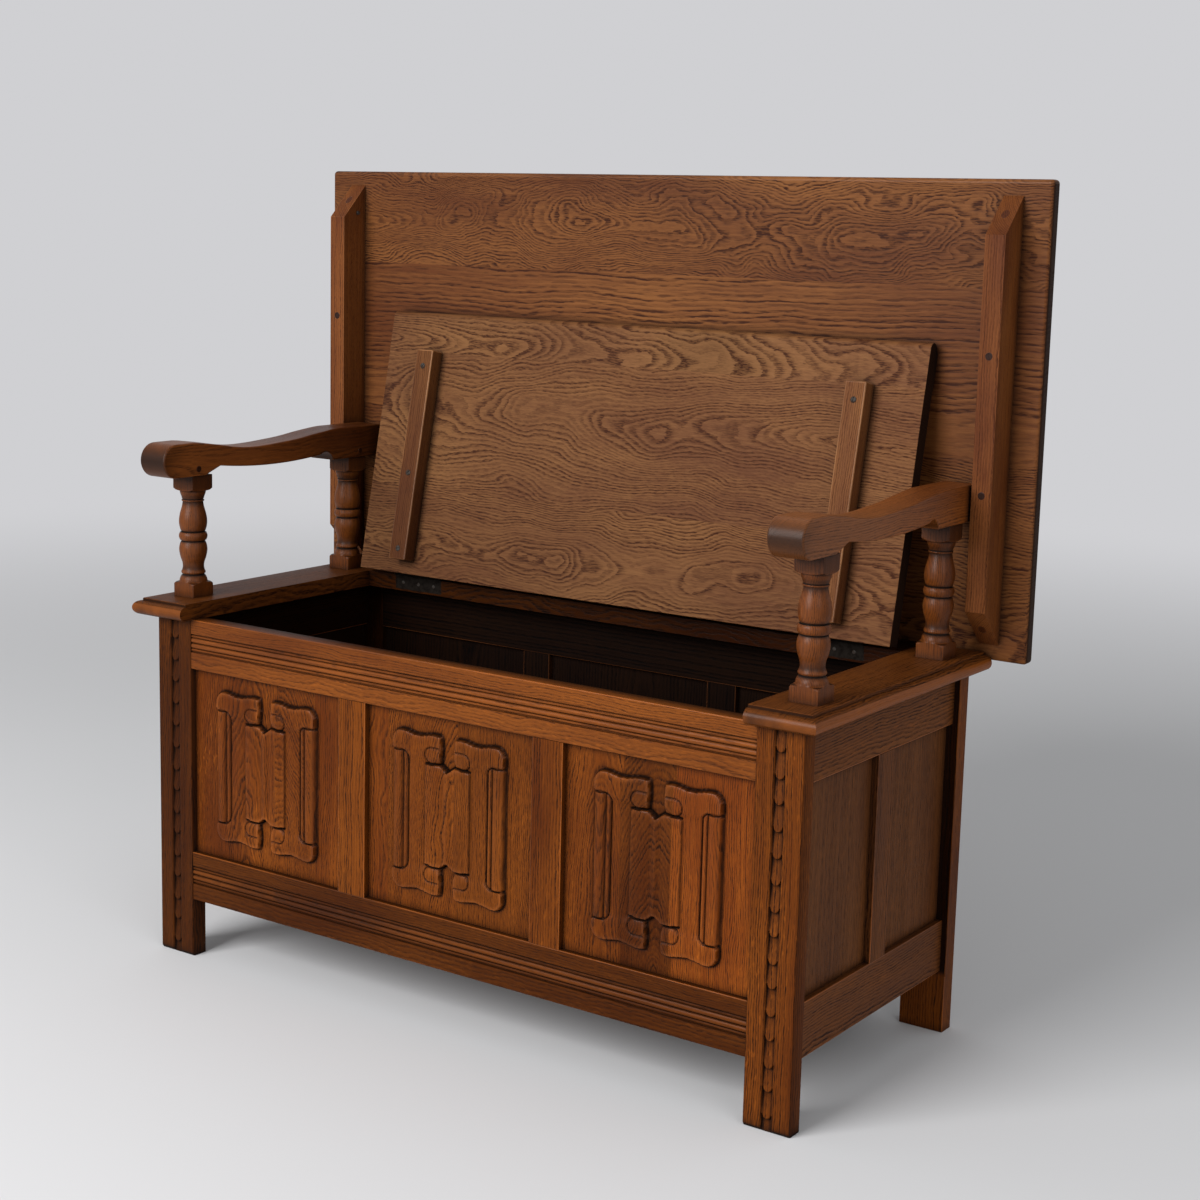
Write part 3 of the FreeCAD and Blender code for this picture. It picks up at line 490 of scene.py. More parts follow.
def finish_piece(name, mesh, nodes, smooth=32, slot=None, body=None, even=True):
    """Makes a mesh a piece of the bench that stands for its CAD nodes and rides with them."""
    for polygon in mesh.polygons:
        polygon.use_smooth = True
    mesh.set_sharp_from_angle(angle=math.radians(smooth))
    piece = bpy.data.objects.new(name, mesh)
    bpy.context.scene.collection.objects.link(piece)
    if even:
        shading = piece.modifiers.new("even shading", "WEIGHTED_NORMAL")
        shading.keep_sharp = True
    slot = slot or slot_of(nodes[0])
    mesh.materials.append(finish_for(slot))
    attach(piece, body or body_of(nodes[0]))
    if nodes and body is None:
        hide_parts(*nodes)
    return piece


def mesh_from(bm, name, worn=()):
    """A mesh from an edited one, with a mark on the faces of its worn arrises, which the oak shader turns paler as
    wear and as painted highlight.
    """
    mesh = bpy.data.meshes.new(name)
    bm.faces.ensure_lookup_table()
    marks = np.zeros(len(bm.faces))
    bm.faces.index_update()
    for face in worn:
        if face.is_valid:
            marks[face.index] = 1.0
    bm.to_mesh(mesh)
    bm.free()
    set_numbers(mesh, "wear", "FLOAT", "FACE", marks)
    return mesh


def round_edges(bm, edges, width, steps=2):
    if width <= 0 or not edges:
        return []
    made = bmesh.ops.bevel(bm, geom=edges, offset=width, segments=steps, profile=0.5,
                           affect="EDGES", clamp_overlap=True)
    return made["faces"]


def block(bm, corner, opposite):
    """A box between two corners, added to an edited mesh."""
    middle = (Vector(corner) + Vector(opposite)) / 2
    size = Vector(opposite) - Vector(corner)
    place = Matrix.Translation(middle) @ Matrix.Diagonal((*size, 1.0))
    return bmesh.ops.create_cube(bm, size=1.0, matrix=place)["verts"]


def board_mesh(name, corner, opposite, arris, steps=2, square=(), cuts=()):
    """A board with rounded edges. Edges that lie in a square plane, such as a glued joint or
    an end that meets a neighbour, stay sharp: each plane is an axis number and a place. Cuts
    are heights at which the mesh gets an extra row of points."""
    bm = bmesh.new()
    block(bm, corner, opposite)
    edges = []
    for edge in bm.edges:
        in_plane = any(all(abs(v.co[axis] - place) < 1e-5 for v in edge.verts)
                       for axis, place in square)
        if not in_plane:
            edges.append(edge)
    worn = round_edges(bm, edges, arris, steps)
    for height in cuts:
        bmesh.ops.bisect_plane(bm, geom=bm.verts[:] + bm.edges[:] + bm.faces[:],
                               plane_co=(0, 0, height), plane_no=(0, 0, 1))
    return mesh_from(bm, name, worn)


def soft_copy(name, node, arris, steps=2, angle=28, skip=None):
    """A copy of a CAD solid with clean faces and rounded edges."""
    bm = bmesh.new()
    bm.from_mesh(frame["nodes"][node].data)
    bmesh.ops.remove_doubles(bm, verts=bm.verts, dist=2e-6)
    bmesh.ops.dissolve_limit(bm, angle_limit=math.radians(0.8), verts=bm.verts, edges=bm.edges)
    sharp = [e for e in bm.edges if len(e.link_faces) == 2
             and e.calc_face_angle(0.0) > math.radians(angle) and not (skip and skip(e))]
    worn = round_edges(bm, sharp, arris, steps)
    return mesh_from(bm, name, worn)


def swept_mesh(name, outline, axis, start, end, arris=0.0):
    """A bar with one outline all along: the outline's points are the two other coordinates,
    in X, Y, Z order, and run counter-clockwise seen from the far end. An arris rounds the
    edges of both ends."""
    bm = bmesh.new()
    rings = []
    for place in (start, end):
        ring = []
        for a, b in outline:
            point = [a, b]
            point.insert(axis, place)
            ring.append(bm.verts.new(point))
        rings.append(ring)
    count = len(outline)
    for i in range(count):
        j = (i + 1) % count
        bm.faces.new((rings[0][i], rings[0][j], rings[1][j], rings[1][i]))
    bm.faces.new(list(reversed(rings[0])))
    bm.faces.new(rings[1])
    bmesh.ops.recalc_face_normals(bm, faces=bm.faces)
    rims = [e for e in bm.edges if abs(e.verts[0].co[axis] - e.verts[1].co[axis]) < 1e-6]
    round_edges(bm, rims, arris, 4)
    return mesh_from(bm, name)


def mark_wear_and_highlight(mesh, shares):
    """Marks how worn each face is, and so how much painted highlight and wear it shows, from the middles of the
    faces.
    """
    middles = np.array([polygon.center for polygon in mesh.polygons])
    mesh.attributes["wear"].data.foreach_set("value", shares(middles).astype(np.float32))


def darken_ends(mesh, shares):
    """Darkens the faces by how far each one is turned to a side."""
    sideways = np.array([abs(polygon.normal.x) for polygon in mesh.polygons])
    set_numbers(mesh, "dirt", "FLOAT", "FACE", shares(sideways))


def arc_points(start, through, end, count):
    """Points on the arc from start through a middle point to end, without the start."""
    (ax, ay), (bx, by), (cx, cy) = start, through, end
    d = 2 * (ax * (by - cy) + bx * (cy - ay) + cx * (ay - by))
    ux = ((ax * ax + ay * ay) * (by - cy) + (bx * bx + by * by) * (cy - ay)
          + (cx * cx + cy * cy) * (ay - by)) / d
    uy = ((ax * ax + ay * ay) * (cx - bx) + (bx * bx + by * by) * (ax - cx)
          + (cx * cx + cy * cy) * (bx - ax)) / d
    radius = math.hypot(ax - ux, ay - uy)
    angles = [math.atan2(y - uy, x - ux) for x, y in (start, through, end)]
    turn = (angles[2] - angles[0]) % math.tau
    if (angles[1] - angles[0]) % math.tau > turn:
        turn -= math.tau
    return [(ux + radius * math.cos(angles[0] + turn * i / count),
             uy + radius * math.sin(angles[0] + turn * i / count)) for i in range(1, count + 1)]


def relief_mesh(name, xs, zs, front_y, back_y, rise, dirt):
    """A closed block whose front is a grid that rises towards the viewer."""
    columns, rows = len(xs), len(zs)
    grid_x, grid_z = np.meshgrid(xs, zs)
    front = np.stack([grid_x, front_y - rise, grid_z], -1).reshape(-1, 3)
    rim = ([(0, i) for i in range(columns)] + [(j, columns - 1) for j in range(1, rows)]
           + [(rows - 1, i) for i in range(columns - 2, -1, -1)]
           + [(j, 0) for j in range(rows - 2, 0, -1)])
    rim_index = [j * columns + i for j, i in rim]
    back = front[rim_index].copy()
    back[:, 1] = back_y
    index = np.arange(rows * columns).reshape(rows, columns)
    quads = np.stack([index[:-1, :-1], index[:-1, 1:], index[1:, 1:], index[1:, :-1]],
                     -1).reshape(-1, 4)
    faces = quads.tolist()
    first = rows * columns
    count = len(rim_index)
    for k in range(count):
        n = (k + 1) % count
        faces.append([rim_index[n], rim_index[k], first + k, first + n])
    faces.append([first + k for k in range(count - 1, -1, -1)])
    mesh = bpy.data.meshes.new(name)
    mesh.from_pydata(np.concatenate([front, back]).tolist(), [], faces)
    set_numbers(mesh, "dirt", "FLOAT", "POINT",
                np.concatenate([dirt.ravel(), dirt.ravel()[rim_index]]))
    return mesh


def blurred(field, reach):
    """Running mean over a square window, three times, which comes close to a soft blur."""
    for _ in range(3):
        for axis in (0, 1):
            padded = np.concatenate([np.repeat(field.take([0], axis), reach, axis), field,
                                     np.repeat(field.take([-1], axis), reach, axis)], axis)
            total = np.cumsum(padded, axis)
            zero = np.zeros_like(total.take([0], axis))
            total = np.concatenate([zero, total], axis)
            width = 2 * reach + 1
            size = field.shape[axis]
            field = (total.take(range(width, width + size), axis)
                     - total.take(range(size), axis)) / width
    return field


def hollows(rise, pitch, reach, depth):
    """How far each point lies below its surroundings: 1 in narrow cuts and at steep walls."""
    steps = max(1, round(reach / pitch))
    return np.clip((blurred(rise, steps) - rise) / depth, 0, 1)


def steps_between(start, end, pitch):
    return np.linspace(start, end, max(2, int(round((end - start) / pitch)) + 1))


def edge_step(distance, width):
    """1 inside a shape and 0 outside it; distance is negative inside."""
    t = np.clip(0.5 - distance / width, 0, 1)
    return t * t * (3 - 2 * t)


# Carving

def rounded_corner(p, q, radius):
    """Distance to a corner at p = q = 0 that is rounded; negative inside."""
    p, q = p + radius, q + radius
    return np.hypot(np.maximum(p, 0), np.maximum(q, 0)) + np.minimum(np.maximum(p, q), 0) - radius


def groove(rise, distance, depth, half):
    """Cuts a V along the line where the distance is 0."""
    return rise - depth * np.clip(1 - np.abs(distance) / half, 0, 1)


def linenfold_rise(dx, dz, crown):
    """Height of the folded-cloth carving, in millimetres, around the middle of a panel."""
    a, b = np.abs(dx), np.abs(dz)
    gap, fold_edge, shaft_edge, reed_edge, side = 10.5, 33.0, 58.5, 66.0, 82.0
    fold_end, lobe_foot, cap_top = 61.5, 72.0, 94.5
    wavy_top = cap_top + 1.6 * np.cos(math.tau * (a - 20) / 48)

    # The wide plate: two shafts, the reeds beside them, and the caps that end in round lobes
    plate = rounded_corner(a - side, b - wavy_top, 11)
    plate = np.maximum(plate, gap - a + 0.8 * np.cos(math.tau * (b - fold_end) / 40))
    notch = np.hypot(a - side - 1.5, b - lobe_foot) - 3.0
    plate = np.maximum(plate, -notch)
    cap_share = edge_step(fold_end + 4 - b, 10)
    cap_rise = crown - 2.2 + 0.9 * np.sin(math.pi * np.clip((b - fold_end) / 33, 0, 1))
    shaft_rise = crown - 4.0 + 1.4 * np.sin(
        math.pi * np.clip((a - fold_edge) / (shaft_edge - fold_edge), 0, 1))
    rise = cap_share * cap_rise + (1 - cap_share) * shaft_rise

    reeds = np.maximum(rounded_corner(shaft_edge - a, b - lobe_foot, 8.5), a - side)
    thin = crown - 2.2 - 1.8 * ((a - 62.2) / 3.8) ** 2
    wide = crown - 4.0 * np.clip((a - 73.0) / 8.5, -1, 1) ** 2
    rise = np.where(reeds < 0, np.where(a < reed_edge, thin, wide), rise)
    rise = groove(rise, reeds, 2.6, 1.4)
    rise = np.where(b < lobe_foot - 1, groove(rise, a - reed_edge, 1.2, 1.2), rise)
    rise = rise * edge_step(plate, 2.0)

    # The middle fold, proud of the shafts, with a ridge and a notch at each end
    end = fold_end - 7.0 * np.clip(1 - a / 9.5, 0, 1) - 1.5 * np.clip((a - 18) / 15, 0, 1)
    middle = np.maximum(a - fold_edge, b - end)
    ridge = 1.5 * np.exp(-(a / 4.5) ** 2) + 1.5 * np.sin(math.pi * np.clip((a - 6) / 27, 0, 1))
    middle_rise = (crown - 2.1 + ridge) * edge_step(middle, 1.9)

    # Curls at the four ends of the middle fold: round outside, cut off by the gap
    curl = rounded_corner(a - fold_edge, np.abs(b - 71.5) - 9.5, 9.2)
    in_curl = (curl < 0) & (a > gap + 1.5)
    curl_rise = crown - 0.7 - 0.02 * ((a - 22) ** 2 + (b - 71.5) ** 2)
    rise = np.maximum(rise, middle_rise)
    on_plate = edge_step(plate, 1.8)
    rise = np.where(in_curl & (b > end), np.maximum(rise, curl_rise * on_plate), rise)
    by_curl = (b > end) & (a > gap + 1.2)
    rise = np.where(by_curl, groove(rise, curl, 2.2 * on_plate, 1.3), rise)
    rise = groove(rise, np.where(a < fold_edge + 0.5, b - end - 0.8, 9.0), 2.6, 1.5)
    outside = np.minimum(plate, middle)
    rise -= 0.7 * np.exp(-((outside - 1.4) / 1.2) ** 2)
    return rise, outside


def hand_tooled(xs, zs, seed, size):
    """Slight unevenness left by hand tools, as long low waves."""
    shift = random.Random(seed)
    grid_x, grid_z = np.meshgrid(xs, zs)
    field = np.zeros_like(grid_x)
    for _ in range(9):
        kx, kz = shift.uniform(-260, 260), shift.uniform(-90, 90)
        field += np.sin(kx * grid_x + kz * grid_z + shift.uniform(0, math.tau))
    return field * size / 4


class SETTLE_OT_carved_panels(bpy.types.Operator):
    """Carves the three linenfold panels of the chest's front"""
    bl_idname = "settle.carved_panels"
    bl_label = "Carved panels"
    bl_options = {"REGISTER", "UNDO"}

    # Planks of each panel, from left to right: where one ends, from the panel's middle in
    # metres, its tone, how far its heart line lies to the side, and the heart line's tilt
    PLANKS = {
        "left": ((0.018, 0.02, 0.03, 0.10), (0.078, -0.04, -0.02, 0.25), (0.2, 0.08, 0.05, 0.0)),
        "middle": ((-0.092, 0.10, 0.09, 0.0), (0.012, -0.06, -0.03, 0.2), (0.2, -0.20, 0.06, 0.1)),
        # The right panel's last plank is set paler partly as painted light, standing for light on the carved shaft
        # over it
        "right": ((-0.045, -0.02, 0.07, 0.1), (0.022, -0.34, 0.0, 0.28), (0.2, 0.62, 0.09, 0.0)),
    }

    def execute(self, context):
        sizes = context.scene.settle_sizes
        ground = high("carved_panel_middle").y - 8 * MM
        for seed, (place, planks) in enumerate(self.PLANKS.items()):
            node = f"carved_panel_{place}"
            corner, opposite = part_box(node)
            middle_x = (corner.x + opposite.x) / 2
            middle_z = (corner.z + opposite.z) / 2
            inset = 3.5 * MM
            xs = steps_between(corner.x + inset, opposite.x - inset, sizes.carving_pitch)
            zs = steps_between(corner.z + inset, opposite.z - inset, sizes.carving_pitch)
            dx, dz = np.meshgrid((xs - middle_x) / MM, (zs - middle_z) / MM)
            rise, outside = linenfold_rise(dx, dz - 0.8, sizes.fold_height / MM)
            rise = rise * MM + hand_tooled(xs, zs, seed, 0.16 * MM)
            rise = np.maximum(rise, -1.2 * MM)
            # Painted shade with grime: darker in the carving's cuts and hollows, and in a narrow band just outside
            # the figure's outline
            cut = hollows(rise, sizes.carving_pitch, 1.6 * MM, 1.7 * MM)
            near = np.exp(-(np.maximum(outside, 0) / 2.2) ** 2) * (outside > 0) * 0.16
            dirt = np.clip(0.72 * cut + near, 0, 1)
            mesh = relief_mesh(node, xs, zs, ground, ground + 7 * MM, rise, dirt)
            # Painted highlight with wear: paler along the raised edges of the carving
            proud = np.clip(hollows(-rise, sizes.carving_pitch, 2.2 * MM, 1.5 * MM) * 0.5, 0, 1)
            edge = len(mesh.vertices) - proud.size
            set_numbers(mesh, "wear", "FLOAT", "POINT",
                        np.concatenate([proud.ravel(), np.zeros(edge)]))
            self.lay_planks(mesh, middle_x, middle_z, planks, 40 + seed)
            finish_piece(f"carving_{place}", mesh, [node], smooth=60, even=False)
        return {"FINISHED"}

    @staticmethod
    def lay_planks(mesh, middle_x, middle_z, planks, seed):
        """Gives each plank of a panel its own tone and its own place in the tree."""
        lay_grain(mesh, Z, -Y, (0.0, 0.035), seed, wild=0.25)
        points = np.array([v.co for v in mesh.vertices])
        grain = np.zeros(len(points) * 3, np.float32)
        mesh.attributes["grain"].data.foreach_get("vector", grain)
        grain = grain.reshape(-1, 3)
        tone = np.zeros(len(points), np.float32)
        start = -1.0
        for number, (end, shade, aside, tilt) in enumerate(planks):
            here = (points[:, 0] - middle_x >= start) & (points[:, 0] - middle_x < end)
            tone[here] = shade
            grain[here, 0] += 3.7 * number
            grain[here, 1] += aside
            grain[here, 2] += tilt * (points[here, 2] - middle_z)
            start = end
        mesh.attributes["grain"].data.foreach_set("vector", grain.ravel())
        mesh.attributes["tone"].data.foreach_set("value", tone)


def leg_front_rise(xs, zs, middle_x, sizes):
    """Height of a front leg's face: worn arrises, the sunk channel and its tongues."""
    grid_x, grid_z = np.meshgrid(xs, zs)
    away = np.abs(grid_x - middle_x) / MM
    from_edge = np.minimum(grid_x - xs[0], xs[-1] - grid_x) / MM
    arris = sizes.arris / MM
    rise = -np.clip(arris - from_edge, 0, None) ** 2 / arris
    foot_wear = np.clip(5 - grid_z / MM, 0, None) ** 2 / 9
    rise -= foot_wear
    half, deep, pitch, climb_length, lip_radius = 6.6, 4.0, 28.5, 26.0, 5.6
    channel = edge_step(away - half, 1.0)
    down = zs[-1] / MM - grid_z / MM
    row = np.floor(down / pitch)
    unevenness = random.Random(row.shape[0])
    shifts = np.array([unevenness.uniform(-1.4, 1.4) for _ in range(64)])[row.astype(int)]
    below = down % pitch + shifts
    past = below - (pitch - lip_radius - 1.0)
    lip = np.where(past > 0, np.hypot(past, away) - lip_radius, -1.0)
    climb = np.clip((below - pitch + climb_length) / climb_length, 0, 1)
    tongue = sizes.gouge_height / MM * climb * edge_step(lip, 1.2)
    bed = -deep + tongue * (1 - 0.22 * (away / half) ** 2)
    rise = rise * (1 - channel) + channel * bed
    return rise * MM


class SETTLE_OT_legs(bpy.types.Operator):
    """Builds the two front legs with their carved channels and the two plain rear legs"""
    bl_idname = "settle.legs"
    bl_label = "Legs"
    bl_options = {"REGISTER", "UNDO"}

    def execute(self, context):
        sizes = context.scene.settle_sizes
        for seed, (name, side) in enumerate(SIDES):
            node = f"front_leg_{name}"
            corner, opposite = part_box(node)
            middle_x = (corner.x + opposite.x) / 2
            pitch = 0.9 * MM
            xs = steps_between(corner.x, opposite.x, pitch)
            zs = steps_between(corner.z, opposite.z, pitch)
            rise = leg_front_rise(xs, zs, middle_x, sizes)
            grid_x, _ = np.meshgrid(xs, zs)
            in_channel = np.abs(grid_x - middle_x) < 6.5 * MM
            # Painted shade with grime in the channel and its hollows; the leg also gets darker towards its foot
            dirt = hollows(rise, pitch, 2.0 * MM, 1.9 * MM) * 0.9 + 0.12 * in_channel
            dirt += 0.4 * np.exp(-zs[:, None] / (12 * MM))
            mesh = relief_mesh(node, xs, zs, corner.y, opposite.y, rise, dirt)
            # The left front leg gets a much darker tone than the right one: painted shade on the left leg and
            # painted light on the right one
            lay_grain(mesh, Z, -Y, (0.10 * side, 0.05), 20 + seed, tone=(-0.62, -0.18)[seed],
                      wild=0.1)
            finish_piece(f"carved_leg_{name}", mesh, [node], smooth=50, even=False)
            node = f"rear_leg_{name}"
            corner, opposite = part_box(node)
            mesh = board_mesh(node, corner, opposite, sizes.arris,
                              cuts=(FRAME_FOOT, FRAME_FOOT - 6 * MM))
            far = max(abs(corner.x), abs(opposite.x)) - 0.6 * sizes.arris
            back = opposite.y - 0.6 * sizes.arris
            lay_grain(mesh, Z, -Y, (0.08, 0.06), 24 + seed, tone=-0.22, wild=0.1,
                      lit=lambda points: (np.abs(points[:, 0]) > far) | (points[:, 1] > back)
                      | (points[:, 2] < FRAME_FOOT - 3 * MM))
            finish_piece(f"plain_leg_{name}", mesh, [node])
        return {"FINISHED"}


# Rails, muntins and plain panels

def reeded_outline(corner, opposite, arris):
    """Outline of a front rail, with two reeds sunk in its face, in Y and Z."""
    y0, y1 = corner.y, opposite.y
    z0, z1 = corner.z, opposite.z
    reed, sink, half = REED, 3.0 * MM, 12 * MM
    middle = (z0 + z1) / 2 + REED_LIFT
    quirk = 2.2 * MM
    face = [(y1, z0), (y1, z1), (y0 + arris, z1)]
    face += arc_points((y0 + arris, z1), (y0 + 0.3 * arris, z1 - 0.3 * arris), (y0, z1 - arris), 4)
    top, foot = middle + half, middle - half
    face += [(y0, top), (y0 + quirk, top - 0.6 * MM), (y0 + quirk, top - 1.6 * MM)]
    upper = middle + reed
    face += arc_points((y0 + quirk, top - 1.6 * MM), (y0 + 0.6 * MM, top - 3.2 * MM),
                       (y0 + sink, upper + reed), 6)
    for centre in (upper, middle - reed):
        face += arc_points((y0 + sink, centre + reed), (y0 + 0.2 * MM, centre),
                           (y0 + sink, centre - reed), 8)
    face += arc_points((y0 + sink, middle - 2 * reed), (y0 + 0.6 * MM, foot + 3.2 * MM),
                       (y0 + quirk, foot + 1.6 * MM), 6)
    face += [(y0 + quirk, foot + 0.6 * MM), (y0, foot)]
    face += [(y0, z0 + arris)]
    face += arc_points((y0, z0 + arris), (y0 + 0.3 * arris, z0 + 0.3 * arris),
                       (y0 + arris, z0), 4)
    return face


class SETTLE_OT_frames(bpy.types.Operator):
    """Builds the rails and muntins of the front, the sides and the back"""
    bl_idname = "settle.frames"
    bl_label = "Rails and muntins"
    bl_options = {"REGISTER", "UNDO"}

    def execute(self, context):
        arris = context.scene.settle_sizes.arris
        for seed, level in enumerate(("top", "bottom")):
            node = f"front_{level}_rail"
            corner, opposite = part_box(node)
            mesh = swept_mesh(node, reeded_outline(corner, opposite, arris), 0,
                              -LEG_INNER_X, LEG_INNER_X)
            lay_grain(mesh, X, -Y, (0.05, 0.07), 60 + seed, tone=(0.12, -0.58)[seed], wild=0.12,
                      faded=(0.25, 0.0)[seed], coarse=0.8, calm=0.3,
                      lit=lambda points: points[:, 1] < high(node).y - 0.1 * MM)
            middle = (corner.z + opposite.z) / 2 + REED_LIFT
            # Painted highlight with wear on the crests of the reeds and on the top arris
            mark_wear_and_highlight(mesh, lambda m: ((np.abs(np.abs(m[:, 2] - middle) - REED) < 2.4 * MM)
                                       & (m[:, 1] < corner.y + 2 * MM)) * 0.35
                      + ((m[:, 2] > opposite.z - arris) & (m[:, 1] < corner.y + arris)) * 0.8)
            finish_piece(f"reeded_rail_{level}", mesh, [node], smooth=40)
            node = f"back_{level}_rail"
            corner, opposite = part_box(node)
            self.member(node, Vector((-LEG_INNER_X, corner.y, corner.z)),
                        Vector((LEG_INNER_X, opposite.y, opposite.z)), X, Y, 64 + seed)
            for name, side in SIDES:
                node = f"side_{level}_rail_{name}"
                corner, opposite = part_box(node)
                self.member(node, Vector((corner.x, LEG_BACK_Y, corner.z)),
                            Vector((opposite.x, REAR_LEG_Y, opposite.z)), Y, X * side,
                            68 + seed + side, 0.0, 0.55)
        for seed, name in enumerate(("left", "right")):
            for frame_name in ("front", "back", "side"):
                node = f"{frame_name}_muntin_{name}"
                corner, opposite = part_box(node)
                sideways = X * (1 if name == "right" else -1)
                face = {"front": -Y, "back": Y, "side": sideways}[frame_name]
                tone, faded = (0.0, 0.6) if frame_name == "side" else (-0.14, 0.0)
                self.member(node, Vector((corner.x, corner.y, RAIL_TOP)),
                            Vector((opposite.x, opposite.y, RAIL_FOOT)), Z, face, 74 + seed,
                            tone, faded)
        return {"FINISHED"}

    @staticmethod
    def member(node, corner, opposite, along, face, seed, tone=0.0, faded=0.0):
        arris = bpy.context.scene.settle_sizes.arris
        axis = max(range(3), key=lambda i: abs(along[i]))
        ends = ((axis, corner[axis]), (axis, opposite[axis]))
        mesh = board_mesh(node, corner, opposite, arris, square=ends)
        out = np.array(face)
        inner = min(np.dot(corner, out), np.dot(opposite, out))
        lay_grain(mesh, along, face, (0.06, 0.06), seed, tone=tone, wild=0.1, faded=faded,
                  lit=lambda points: points @ out > inner + 0.1 * MM)
        finish_piece(f"shown_{node}", mesh, [node])


class SETTLE_OT_plain_panels(bpy.types.Operator):
    """Builds the flat panels of the sides and the back, and the floor of the chest"""
    bl_idname = "settle.plain_panels"
    bl_label = "Plain panels and floor"
    bl_options = {"REGISTER", "UNDO"}

    def execute(self, context):
        seed = 90
        for name, side in SIDES:
            for place in ("front", "rear"):
                node = f"side_panel_{place}_{name}"
                mesh = board_mesh(node, *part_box(node), 0.4 * MM)
                inner = min(abs(low(node).x), abs(high(node).x))
                # The side panels are greyed through faded as painted sheen and shade on faces turned from the lamp
                lay_grain(mesh, Z, X * side, (0.16, 0.05), seed, tone=0.0, wild=0.15, faded=0.7,
                          lit=lambda points: np.abs(points[:, 0]) > inner + 0.1 * MM)
                finish_piece(f"shown_{node}", mesh, [node])
                seed += 1
        for place in ("left", "middle", "right"):
            node = f"back_panel_{place}"
            mesh = board_mesh(node, *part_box(node), 0.4 * MM)
            lay_grain(mesh, Z, -Y, (0.02, 0.04), seed, wild=0.3,
                      lit=lambda points: points[:, 1] > high(node).y - 0.2 * MM)
            finish_piece(f"shown_{node}", mesh, [node])
            seed += 1
        for node in ("floor_boards", "floor_strips"):
            mesh = soft_copy(node, node, 0.6 * MM)
            lay_grain(mesh, X, Z, (0.02, 0.04), seed, wild=0.2,
                      lit=lambda points: points[:, 2] < low(node).z + 0.2 * MM)
            finish_piece(f"shown_{node}", mesh, [node])
            seed += 1
        return {"FINISHED"}


# Cappings and hinge rail

def nose_profile(flat, bulge, foot, top, count=14):
    """Points of a nosing from its foot to the top edge: how far out, and how high."""
    nose = 2 * bulge
    points = [(flat - 1.2 * MM, foot)]
    points += arc_points((flat - 1.2 * MM, foot), (flat + bulge, foot + bulge),
                         (flat - 0.6 * MM, foot + nose - 0.4 * MM), count)
    points += [(flat - 0.8 * MM, foot + nose), (flat - 0.8 * MM, top - 0.7 * MM),
               (flat - 1.5 * MM, top)]
    return points


class SETTLE_OT_cappings(bpy.types.Operator):
    """Builds the moulded boards that cap the chest's ends, and the rail behind the lid"""
    bl_idname = "settle.cappings"
    bl_label = "Cappings and hinge rail"
    bl_options = {"REGISTER", "UNDO"}

    def execute(self, context):
        for seed, (name, side) in enumerate(SIDES):
            node = f"capping_{name}"
            mesh = self.capping(node, side)
            lay_grain(mesh, Y, Z, (0.05 * side, 0.03), 110 + seed, tone=(-0.32, -0.16)[seed],
                      wild=0.2, faded=0.35)
            finish_piece(f"moulded_{node}", mesh, [node], smooth=38)
        mesh = soft_copy("hinge_rail", "hinge_rail", 0.7 * MM)
        lay_grain(mesh, X, -Y, (0.03, 0.04), 114, tone=-0.75, wild=0.25)
        finish_piece("shown_hinge_rail", mesh, ["hinge_rail"])
        return {"FINISHED"}

    @staticmethod
    def capping(node, side):
        """One capping: its nosing runs along the outer edge, turns at a mitre, and ends
        square against the lid's opening."""
        corner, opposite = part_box(node)
        inner = min(abs(corner.x), abs(opposite.x))
        outer = max(abs(corner.x), abs(opposite.x))
        bulge = 9 * MM
        profile = nose_profile(0.0, bulge, corner.z, opposite.z)
        edge_x, edge_y = outer - bulge, corner.y + bulge
        bm = bmesh.new()

        def point(x, y, z):
            return bm.verts.new((side * x, y, z))

        rear = [point(edge_x + o, opposite.y, z) for o, z in profile]
        mitre = [point(edge_x + o, edge_y - o, z) for o, z in profile]
        front = [point(inner, edge_y - o, z) for o, z in profile]
        foot = point(inner, opposite.y, corner.z)
        top = point(inner, opposite.y, opposite.z)
        for i in range(len(profile) - 1):
            bm.faces.new((rear[i], mitre[i], mitre[i + 1], rear[i + 1]))
            bm.faces.new((mitre[i], front[i], front[i + 1], mitre[i + 1]))
        bm.faces.new((rear[-1], mitre[-1], front[-1], top))
        bm.faces.new((rear[0], foot, front[0], mitre[0]))
        bm.faces.new([foot, top] + front[::-1])
        bm.faces.new([top, foot] + rear)
        bmesh.ops.recalc_face_normals(bm, faces=bm.faces)
        edges = [e for e in bm.edges if all(abs(abs(v.co.x) - inner) < 1e-6 for v in e.verts)
                 and e.calc_length() > 0.1]
        worn = round_edges(bm, edges, 1.0 * MM)
        mesh = mesh_from(bm, node, worn)
        # Painted highlight with wear along the outer nosing
        mark_wear_and_highlight(mesh, lambda m: ((np.abs(m[:, 0]) > outer - 2.2 * MM)
                                   | (m[:, 1] < corner.y + 2.2 * MM)) * 0.6)
        return mesh


# Balusters and arms

# Sizes of a baluster in millimetres: half the side of its square, and the heights of the
# turned part and of the blocks under and over it
SQUARE = 17.5
SHAFT = 117.0
BASE_BLOCK = 18.0
HEAD_BLOCK = 20.0


